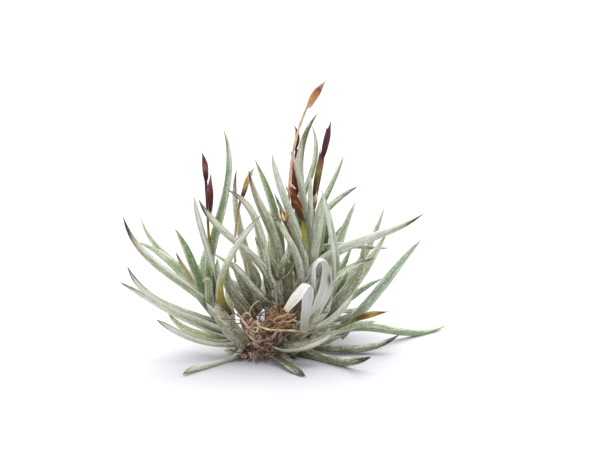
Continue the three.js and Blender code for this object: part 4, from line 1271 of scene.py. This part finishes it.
# %% Shape of the bleached leaves
BLEACHED = {
    "bleached_leaf_front": {
        "path": [
            [11.1, -4, 7.6], [11.5, -5.2, 11.8], [12, -6.6, 16.5], [12.3, -8.4, 20.8],
            [11.2, -10.6, 23.6], [8.9, -12.6, 21.1], [6, -14, 17.3],
        ],
        "faces": [
            (-0.2, -1, 0.2), (-0.2, -1, 0.2), (-0.2, -1, 0.1), (-0.2, -0.9, -0.4),
            (0.1, -0.3, -1), (0.35, 0.6, -0.7), (0.3, 0.85, -0.45),
        ],
        "widths": [2.1, 2.4, 2.8, 3.5, 4, 3.8, 1.6],
        "colors": ["#cfcdb8", "#dcdccf", "#e6e6de", "#ecece6", "#f4f4f0", "#eeece4", "#dccfb6"],
    },
    "bleached_leaf_rear": {
        "path": [
            [12.3, -3, 7.8], [13.9, -3.9, 12.3], [15.8, -4.8, 16.7], [17.4, -5.7, 20.9],
            [17.8, -6.6, 25], [17.4, -7.4, 28.5], [15.7, -8.2, 30.3], [13.9, -8.4, 28.5],
            [13.6, -7.8, 24.9], [13.4, -6.4, 21.2],
        ],
        "faces": [
            (-0.4, -1, 0.2), (-0.4, -1, 0.2), (-0.4, -1, 0.2), (-0.4, -1, 0.1), (-0.6, -0.8, -0.2),
            (-0.5, -0.5, -0.8), (0.2, -0.2, -1), (0.8, 0.3, -0.6), (0.6, 0.8, -0.2), (0.5, 0.9, 0),
        ],
        "widths": [2.2, 2.7, 3.4, 3.9, 3.6, 3, 2.9, 2.2, 1.8, 1.2],
        "colors": [
            "#dedfd0", "#e6e6dc", "#ecece4", "#e4e2d8", "#e2e2da", "#eeeee8", "#f0f0ec", "#dfe0d6",
            "#c6c8b6",
        ],
        "spot": {"along": 0.42, "across": 0.25, "length": 0.045, "width": 0.28, "share": 1.2,
                 "color": "#5a3424"},
    },
}
print("bleached leaves:", len(BLEACHED))

# %% [markdown]
# ### Making the bleached leaves
# A smooth line runs through all points of a path, and the section follows the leaf's widths. The
# ribs are waves across it. Between them the leaf is a little darker, as if shaded, and the whole
# leaf is creased. The brown spot is mixed into the colour of the points near it.

# %% Making the bleached leaves
RIBS = 5
RIB_HEIGHT = 0.07
RIB_SHADE = 0.26
BLEACHED_CURL = 0.3
BLEACHED_CREASE = 0.07
# How thick the leaf is on its back and on its inner side, as shares of its half width.
BLEACHED_BACK, BLEACHED_INNER = 0.2, 0.02
bleached_blank = strand_blank(sides=28, steps=[1 / 44] * 44)


def spline_line(path):
    """A smooth line through all points of a path, as a uniform Catmull-Rom spline."""
    p = np.array(path, float)
    p = np.concatenate([[2 * p[0] - p[1]], p, [2 * p[-1] - p[-2]]])
    spans = len(p) - 3

    def line(t):
        start = np.minimum((t * spans).astype(int), spans - 1)
        u = (t * spans - start)[:, None]
        a, b, c, d = (p[start + k] for k in range(4))
        bend, wind = 2 * a - 5 * b + 4 * c - d, 3 * b - a - 3 * c + d
        points = 0.5 * (2 * b + (c - a) * u + bend * u**2 + wind * u**3)
        return points, units((c - a) + 2 * bend * u + 3 * wind * u**2)

    return line


def bleached_section(widths):
    def section(t, x, y):
        half = np.interp(t, np.linspace(0, 1, len(widths)), widths) / 2
        rib = RIB_HEIGHT * np.cos(RIBS * math.pi * x) * (1 - x**8)
        curl = BLEACHED_CURL * half * x**2
        crease = BLEACHED_CREASE * half * np.sin(17 * t + 4 * x) * np.cos(9 * t - 2 * x)
        thick = np.where(y < 0, BLEACHED_BACK, BLEACHED_INNER) * half * (1 - x**4) * np.abs(y) ** 0.4
        return half * x, curl + rib + crease - thick

    return section


for number, (name, leaf) in enumerate(BLEACHED.items()):
    line, section = spline_line(leaf["path"]), bleached_section(leaf["widths"])
    strand = dry_strand(bleached_blank, line, leaf["faces"], section, leaf["colors"], number)
    x, _, t = bleached_blank["places"].T
    groove = (0.5 - 0.5 * np.cos(RIBS * math.pi * x)) * (1 - x**8)
    strand["tint"] = strand["tint"] * (1 - RIB_SHADE * groove[:, None])
    if "spot" in leaf:
        spot = leaf["spot"]
        far = ((t - spot["along"]) / spot["length"]) ** 2 + ((x - spot["across"]) / spot["width"]) ** 2
        strand["tint"] = mixed(strand["tint"], rgb(spot["color"]), spot["share"] * np.exp(-far))
    piece = joined(name + "_dry", [strand], dry["bleached_leaf"])
    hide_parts(name)

# %% [markdown]
# ## Roots
# Air plants hold on with wiry roots. These let go long ago and dried into a curly, coppery nest in
# front of the rootstock. The listed ones are those of the solid model and a few more that stand out
# in front. A row is a path, a radius and a look, and a look's colours run along its root.

# %% Listed roots
ROOT_LOOKS = {
    "tan": ["#a8896a", "#e4ccaa", "#c9ab80"],
    "long": ["#a8896a", "#e0c8a4", "#c4a070", "#8e6c44"],
    "old": ["#6a4e42", "#a88474", "#7a5a48"],
    "pink": ["#b08c78", "#d2b29c", "#8c6856"],
    "thin": ["#8a6248", "#6a4836", "#4a3226"],
    "dark": ["#54382a", "#3a241a", "#4c3226"],
}
ROOTS = [
    [[[2, -3, 2.4], [2.7, -4.9, 4.8], [3.2, -5.6, 6.8], [3.4, -5.2, 8.8]], 0.2, "old"],
    [[[0, -3.4, 2.6], [0.3, -5.4, 5], [1.5, -5.9, 7.2], [3, -5.4, 8.6]], 0.2, "old"],
    [[[3.5, -5.4, 8.6], [4, -8.6, 9.6], [9, -10, 10], [14.4, -8.5, 8.6]], 0.24, "long"],
    [[[1, -5, 8], [-2.6, -8, 11.6], [-3.6, -8.6, 15.4], [-0.9, -7.4, 18.2]], 0.18, "tan"],
    [[[1, -5, 8.6], [-4, -8.4, 11.6], [-7.7, -10, 14.8], [-11.6, -10.4, 16.1]], 0.13, "thin"],
    [[[1, -5, 7.6], [-3.6, -8.8, 7.4], [-4.9, -9.4, 9.6], [-1.6, -8.6, 11.2]], 0.3, "pink"],
    [[[2, -5, 7.6], [-2.4, -8, 7], [-0.4, -8.8, 4.8], [4.6, -7.6, 4.6]], 0.22, "old"],
    [[[1.4, -5.4, 8.8], [-5, -8.4, 12.4], [-9.4, -10, 13.4], [-11.6, -10, 13.8]], 0.12, "thin"],
    [[[5, -5.2, 8.6], [8.4, -7, 9.6], [9, -5.6, 13], [6, -5, 16.2]], 0.13, "thin"],
    [[[-7.4, -9.6, 15], [-5.9, -9.8, 13.6], [-4.9, -9.8, 12], [-4.4, -8.6, 10]], 0.34, "tan"],
    [[[-3.6, -9.6, 11.4], [-1.8, -9.8, 12.2], [-1.6, -9.4, 10.6], [-4.4, -8.8, 10.4]], 0.36, "tan"],
    [[[-3.8, -9.4, 11], [0, -9.9, 10.7], [5, -9.8, 10.1], [10.4, -8.8, 9.4]], 0.26, "long"],
    [[[-6, -9.6, 14.1], [-9, -10.4, 16.4], [-10.8, -10.4, 17], [-11.6, -10.2, 16]], 0.13, "dark"],
    [[[-2.2, -8.6, 12.9], [-3, -8.8, 14.4], [-2.4, -8.6, 15.8], [-1.2, -8.4, 16.3]], 0.2, "dark"],
    [[[-0.5, -8.8, 12.2], [-1.1, -9, 13.6], [-0.6, -9, 14.8], [0.6, -8.6, 15.4]], 0.16, "dark"],
    [[[-1.8, -8.4, 13], [-2.3, -8.6, 14.4], [-1.5, -8.6, 15.4], [-0.2, -8.4, 16]], 0.14, "dark"],
    [[[-2.2, -9, 13.7], [-1, -9.3, 14.3], [0.2, -9.2, 14.2], [1.2, -8.8, 14.8]], 0.15, "dark"],
    [[[-0.6, -7.5, 4.9], [-3.9, -8.5, 3.5], [-6.7, -9.5, 3.4], [-9.7, -10.4, 4.6]], 0.2, "dark"],
]
print("listed roots:", len(ROOTS))

# %% [markdown]
# ### Fine roots
# The nest itself is a mass of roots too thin and too many for the solid model. Most of them run up
# and to the right through the nest, as if combed, and others cross it. At its left end short thick
# ones curl into a knot. So there are three rules for a path, one for each kind of root.

# %% Paths of fine roots
NEST = {"centre": [4.2, -5.8, 13.2], "radii": [5.4, 3.4, 3.6]}
NEST_FOOT = {"centre": [3.2, -5.2, 9.4], "radii": [4.4, 1.8, 2]}
KNOT = {"centre": [-4.6, -8.6, 12.4], "radii": [2.8, 1.2, 2.6]}
COMBED_ROOTS, CROSSING_ROOTS, KNOTTED_ROOTS = 72, 22, 18
COMBED_FEET = {"x": (-0.6, 5.6), "z": (9.4, 4.2)}
COMBED_WAY, COMBED_FAN = 30, 60
COMBED_LENGTH = (2.8, 3.6)
COMBED_DEPTH = 3
COMBED_BOW, COMBED_STRAY = 1.6, 1.6
# How far from their ball's centre the points of crossing and knotted roots lie, as shares.
CROSSING_SIZES, KNOTTED_SIZES = ((0.3, 0.4), (0.5, 0.4), (0.6, 0.45)), (0.4, 0.6)


def in_ball(ball, size, draw):
    """A point at a random way from the ball's centre, at a share of its size."""
    way = unit(np.array([draw() - 0.5, draw() - 0.5, draw() - 0.5]))
    return np.array(ball["centre"]) + way * size * ball["radii"]


def crossing_path(draw):
    """Out of the nest's foot and through the nest."""
    sizes = [within(span, draw) for span in CROSSING_SIZES]
    return [in_ball(NEST_FOOT, 0.9, draw), *(in_ball(NEST, size, draw) for size in sizes)]


def knotted_path(draw):
    """A short, thick root that curls at the nest's left end."""
    return [in_ball(KNOT, within(KNOTTED_SIZES, draw), draw) for _ in range(4)]


def combed_path(draw):
    """Up and to the right through the nest, as most of them run."""
    x, z = within(COMBED_FEET["x"], draw), within(COMBED_FEET["z"], draw)
    way = math.radians(COMBED_WAY + COMBED_FAN * (draw() - 0.5))
    length, y = within(COMBED_LENGTH, draw), NEST["centre"][1] - COMBED_DEPTH * draw()
    bow = COMBED_BOW * (draw() - 0.5)
    points = []
    for share in (0, 0.3, 0.65, 1):
        angle = way + bow * (share - 0.5)
        points.append([x + length * share * math.cos(angle), y, z + length * share * math.sin(angle)])
        y += COMBED_STRAY * (draw() - 0.5)
    return points


print("fine roots:", COMBED_ROOTS + CROSSING_ROOTS + KNOTTED_ROOTS)

# %% [markdown]
# ### Making the roots
# Each root is a six-sided blank with a few knots that thins towards its end, and it swings a little
# about its path, as wiry roots do. The thickness of each fine root is drawn, and so are the colours
# of most, since a nest of equal roots would look woven. All roots become one piece, in the place of
# the solid ones.

# %% Making the roots
ROOT_SEED = 5
KNOTTED_ROOT_RADIUS = (0.12, 0.14)
KNOTTED_ROOT_LOOKS = ("tan", "pink", "old")
KNOTTED_FROM = 300
FINE_ROOT_RADIUS = (0.08, 0.13)
FINE_ROOT_SWAY, LISTED_ROOT_SWAY = 0.3, 0.15
ROOT_PACE = (8, 14)
ROOT_TAPER = (1.2, 0.5)
ROOT_KNOTS, ROOT_KNOT_PACE = 0.12, 31
ROOT_COLORS = [
    "#bc9068", "#e0c098", "#92684a", "#5e402c", "#c69e76", "#ecd4b0", "#3c281a", "#805a40", "#d6ae84",
    "#a88260", "#e8cca6", "#543828",
]


def root_strand(path, radius, colors, sway, number):
    draw = draws(number * 7 + 3)
    phase, pace = within(ANY_PHASE, draw), within(ROOT_PACE, draw)

    def section(t, x, y):
        knots = 1 + ROOT_KNOTS * np.sin(ROOT_KNOT_PACE * t + phase)
        half = radius * (ROOT_TAPER[0] - ROOT_TAPER[1] * t) * knots
        return half * x, half * y

    def line(t):
        points, ways = along_curve(curve_through(path), t)
        swing = np.sin(pace * t + phase) - math.sin(phase)
        lift = np.cos(0.8 * pace * t + 2 * phase) - math.cos(2 * phase)
        return points + sway * np.stack([swing, 0.6 * swing * lift, lift], axis=1), ways

    return dry_strand(root_blank, line, VIEWER, section, colors, number)


root_draw = draws(ROOT_SEED)
strands = []
for k, (path, radius, look) in enumerate(ROOTS):
    strands.append(root_strand(path, radius, ROOT_LOOKS[look], LISTED_ROOT_SWAY, k))
for k in range(KNOTTED_ROOTS):
    colors = ROOT_LOOKS[KNOTTED_ROOT_LOOKS[k % len(KNOTTED_ROOT_LOOKS)]]
    radius = within(KNOTTED_ROOT_RADIUS, root_draw)
    path = knotted_path(root_draw)
    strands.append(root_strand(path, radius, colors, LISTED_ROOT_SWAY, KNOTTED_FROM + k))
paths = [combed_path(root_draw) for _ in range(COMBED_ROOTS)]
paths += [crossing_path(root_draw) for _ in range(CROSSING_ROOTS)]
for k, path in enumerate(paths):
    colors = [ROOT_COLORS[int(root_draw() * len(ROOT_COLORS))] for _ in range(2)]
    radius = FINE_ROOT_RADIUS[0] + FINE_ROOT_RADIUS[1] * root_draw() ** 2
    strands.append(root_strand(path, radius, colors, FINE_ROOT_SWAY, len(ROOTS) + k))
piece = joined("wiry_roots", strands, dry["wiry_root"])
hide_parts("roots")

# %% [markdown]
# ## Rootstock
# All stems come from one old, dark base. It is lumpy, and closely set with broken-off leaf bases,
# bristles and fibres that go all ways. The base itself is an icosphere that is stretched, roughened
# and cut flat where it rests.

# %% Base of the rootstock
ROOTSTOCK = {"centre": [0, 0.5, 1.2], "radii": [7.2, 5.6, 4.2]}
BASE_SINK = 0.97
LUMPS = {"width": 2.2, "height": 1.6, "middle": 0.55}
BARK_SHADES = ("#5c4a3e", "#ac937e")
BARK_PACE = (1.7, 1.3)

bpy.ops.object.select_all(action="DESELECT")
bpy.ops.mesh.primitive_ico_sphere_add(subdivisions=5, radius=1)
base = bpy.context.object
bpy.ops.object.mode_set(mode="EDIT")
bpy.ops.mesh.select_all(action="SELECT")
bpy.ops.transform.resize(value=[radius * BASE_SINK * MM for radius in ROOTSTOCK["radii"]])
bpy.ops.transform.translate(value=[place * MM for place in ROOTSTOCK["centre"]])
bpy.ops.object.mode_set(mode="OBJECT")
clouds = bpy.data.textures.new("lumps", "CLOUDS")
clouds.noise_scale = LUMPS["width"] * MM
roughen = base.modifiers.new("roughen", "DISPLACE")
roughen.texture = clouds
roughen.strength = LUMPS["height"] * MM
roughen.mid_level = LUMPS["middle"]
bpy.ops.object.modifier_apply(modifier="roughen")
bpy.ops.object.mode_set(mode="EDIT")
bpy.ops.mesh.select_all(action="SELECT")
bpy.ops.mesh.bisect(
    plane_co=(0, 0, LOWEST_POINT * MM), plane_no=(0, 0, -1),
    use_fill=True, clear_outer=True, threshold=1e-7,
)
bpy.ops.object.mode_set(mode="OBJECT")
places, faces = shape_of(base)
places /= MM
x, y, z = places.T
shade = 0.5 + 0.5 * np.sin(BARK_PACE[0] * x) * np.cos(BARK_PACE[1] * y + z)
dark, pale = (rgb(color) for color in BARK_SHADES)
bark = {"places": places, "faces": faces, "strand": places, "tint": mixed(dark, pale, shade)}
print("the base's lowest point:", places[:, 2].min().round(3), "mm")

# %% [markdown]
# ### Bristles
# Fine bristles stand all round the base and droop a little, and a tuft of them lies along the table
# in front. Real ones are hair-thin. They are drawn 0.14 to 0.44 mm thick, so that they show.

# %% Paths of bristles
BRISTLE_RISE = (-0.2, 0.9)
BRISTLE_LEAN, BRISTLE_STRAY = 1.2, 0.8
BARK_ROOM = 0.4
BARK_SINK = 0.8
TUFT_SPREAD, TUFT_FRONT, TUFT_ROUND = 7, -4, 3
TUFT_FAN, TUFT_STRAY = 1.6, 2
TUFT_HEIGHTS = (2.8, 2.1, 1.1, 0.15)
TUFT_LENGTH = (1.5, 5)


def bristle_path(draw, length, droop):
    """Four points from inside the rootstock out into the air, and the way out there."""
    way = unit(np.array([draw() - 0.5, draw() - 0.5, within(BRISTLE_RISE, draw)]))
    foot = np.array(ROOTSTOCK["centre"]) + way * ROOTSTOCK["radii"]
    foot[2] = max(foot[2], BARK_ROOM)
    out = unit(way / ROOTSTOCK["radii"])
    lean = np.array([draw() - 0.5, draw() - 0.5, draw() - 0.3])
    ahead = unit(out + lean * BRISTLE_LEAN)
    points = [foot - out * BARK_SINK]
    for share in (0.35, 0.7, 1):
        fall = np.array([0, 0, -droop * share**2])
        points.append(foot + (ahead * length + lean * BRISTLE_STRAY) * share + fall)
    return points, out


def tuft_path(draw):
    """Four points from the base's front down to the table and along it, towards the viewer."""
    across = draw() - 0.5
    length = TUFT_LENGTH[0] + TUFT_LENGTH[1] * draw() ** 2
    ahead = unit(np.array([TUFT_FAN * across + TUFT_STRAY * (draw() - 0.5), -1]))
    foot = np.array([TUFT_SPREAD * across, TUFT_FRONT + TUFT_ROUND * across**2])
    shares = (0, 0.3, 0.65, 1)
    return [[*(foot + ahead * length * share), height] for share, height in zip(shares, TUFT_HEIGHTS)]


print("the tuft starts", TUFT_HEIGHTS[0], "mm up and ends", TUFT_HEIGHTS[-1], "mm above the table")

# %% [markdown]
# ### Making the bristles
# A bristle is the plainest blank there is, with four sides and four steps, because there are so many.
# Nearly all are short and thin: a draw from 0 to 1 is squared, or so, before it is used. Most are painted
# paler than the base, as painted light where they catch it, and the rest are dark. The tuft in front is
# painted pale, as painted light against the shade of the root nest above it.

# %% Bristles
BARK_SEED = 77
BRISTLES = 900
BRISTLE_LENGTH = (1.4, 4.4)
BRISTLE_RADIUS = (0.07, 0.15)
BRISTLE_DROOP = 0.35
BRISTLE_TAPER = 0.85
# Painted light: most bristle colours are lighter than the base.
BRISTLE_COLORS = ["#a48e78", "#ccb69e", "#6a5444", "#dccab4", "#eadccc", "#3c2c22", "#ccb296"]
BRISTLE_FACE = (0.3, -0.5, 1)
TUFT = 80
# Painted light: the tuft is painted pale against the shade of the root nest.
TUFT_COLORS = ["#a48c76", "#d0baa4", "#6c5848", "#e4d2be"]


def bristle_strand(path, radius, color, number):
    def section(t, x, y):
        half = radius * (1 - BRISTLE_TAPER * t)
        return half * x, half * y

    line = cubic_line(curve_through(path))
    return dry_strand(fibre_blank, line, BRISTLE_FACE, section, [color], number)


def bristle_radius(draw):
    return BRISTLE_RADIUS[0] + BRISTLE_RADIUS[1] * draw() ** 2


bark_draw = draws(BARK_SEED)
strands = [bark]
for k in range(BRISTLES):
    length = BRISTLE_LENGTH[0] + BRISTLE_LENGTH[1] * bark_draw() ** 1.5
    path, _ = bristle_path(bark_draw, length, length * BRISTLE_DROOP * bark_draw())
    radius = bristle_radius(bark_draw)
    color = BRISTLE_COLORS[int(bark_draw() * len(BRISTLE_COLORS))]
    strands.append(bristle_strand(path, radius, color, k))
for k in range(TUFT):
    radius = bristle_radius(bark_draw)
    strands.append(bristle_strand(tuft_path(bark_draw), radius, TUFT_COLORS[k % len(TUFT_COLORS)], k))
print("bristles:", BRISTLES + TUFT)

# %% [markdown]
# ### Stubs
# Stubs are what is left of old leaves: short, channelled, torn strips, brown and pinkish grey. Their
# colours are lifted to nearly white at their ends, as painted light against the shade under the root nest.
# They start where bristles do and are closely set, which gives the rootstock its shaggy look.

# %% Stubs
STUBS = 120
STUB_LENGTH = (2.2, 3.8)
STUB_WIDTH = (0.5, 0.9)
STUB_THICKNESS = 0.12
STUB_CHANNEL = 0.6
STUB_RAGGED = 0.15
STUB_TAPER = {"even": 0.35, "late": 0.5}
STUB_DROOP = 1.2
# Painted light: the stubs pale to nearly white at their ends.
STUB_COLORS = [
    ["#98806c", "#e0cab4", "#f0e2d2"], ["#84705c", "#c8b098", "#e4d2bc"],
    ["#685444", "#a89078", "#d2ba9e"], ["#a88c7c", "#e4cab8", "#f0dece"],
]


def stub_strand(path, inner, width, colors, number):
    """A torn strip that is channelled and narrows to a ragged end."""

    def section(t, x, y):
        taper = 1 - STUB_TAPER["even"] * t - STUB_TAPER["late"] * t**5
        half = width / 2 * taper * (1 + STUB_RAGGED * np.sin(9 * t + number))
        return half * x, -STUB_THICKNESS * y + STUB_CHANNEL * half * x**2

    return dry_strand(leaf_blank, cubic_line(curve_through(path)), inner, section, colors, number)


for k in range(STUBS):
    length = within(STUB_LENGTH, bark_draw)
    path, out = bristle_path(bark_draw, length, STUB_DROOP * bark_draw())
    width = within(STUB_WIDTH, bark_draw)
    strands.append(stub_strand(path, out, width, STUB_COLORS[k % len(STUB_COLORS)], k))
print("stubs:", STUBS)

# %% [markdown]
# ### Withered leaves
# Between the stems, dead leaves of earlier years still stand in the heart of the clump. They are
# brown-grey and lie behind the living ones, so no light shines through the clump's foot. Three short
# grey-green ones stand deep inside the clump as well, and a papery scrap sticks up beside the roots: it is
# painted light, pure white, so that it shows as a bright gap in the shade of the clump. These four are
# listed. Base, bristles, stubs and withered leaves are one piece.

# %% Withered leaves
WITHERED = 16
WITHERED_FROM, WITHERED_FAN = math.radians(-20), math.radians(190)
WITHERED_CLIMB = (0.9, 0.9)
WITHERED_LENGTH = (9, 8)
WITHERED_WIDTH = 3.2
WITHERED_COLORS = [["#6c6248", "#8a8262", "#a09878"], ["#5e563e", "#787050", "#6a6248"]]
WITHERED_FOOT = 3
INNER_FACE = (0, -1, 0.2)
# Painted light: a pure white scrap that shows as a bright gap in the shade of the clump.
BRIGHT_GAP_SCRAP = ["#f4f2ea", "#ffffff", "#ffffff"]
INNER_LEAVES = [
    [[[4.5, 3, 8], [6, 3.6, 14], [6.9, 4, 20], [6.3, 4.6, 26]], 4.2, ["#6c6a4c", "#908c6c", "#a29e7c"]],
    [[[10.4, 5, 24], [10.3, 5, 31], [9.9, 5, 37], [9, 5, 43]], 3.6, ["#6c7048", "#8a9464", "#a0a87c"]],
    [[[15.8, 5, 25], [16.6, 5, 31], [17.3, 5, 36], [17.8, 5, 41]], 3.4, ["#5c6440", "#747e54", "#98a07c"]],
    [[[-2, -6.4, 11], [-1.3, -7.6, 12.6], [-0.5, -8.2, 14.4], [0, -8.4, 16]], 2.6, BRIGHT_GAP_SCRAP],
]

for k, (path, width, colors) in enumerate(INNER_LEAVES):
    strands.append(stub_strand(path, INNER_FACE, width, colors, k))
for k in range(WITHERED):
    angle = WITHERED_FROM + WITHERED_FAN * (k + bark_draw()) / WITHERED
    length = within(WITHERED_LENGTH, bark_draw)
    way = unit(np.array([math.cos(angle), math.sin(angle), within(WITHERED_CLIMB, bark_draw)]))
    foot = np.array(ROOTSTOCK["centre"]) + way * WITHERED_FOOT
    path = [foot + way * length * share for share in (0, 0.35, 0.7, 1)]
    colors = WITHERED_COLORS[k % len(WITHERED_COLORS)]
    strands.append(stub_strand(path, (-way[0], -way[1], 1), WITHERED_WIDTH, colors, k))
piece = joined("rootstock_bark", strands, dry["root_bark"])
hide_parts("rootstock")
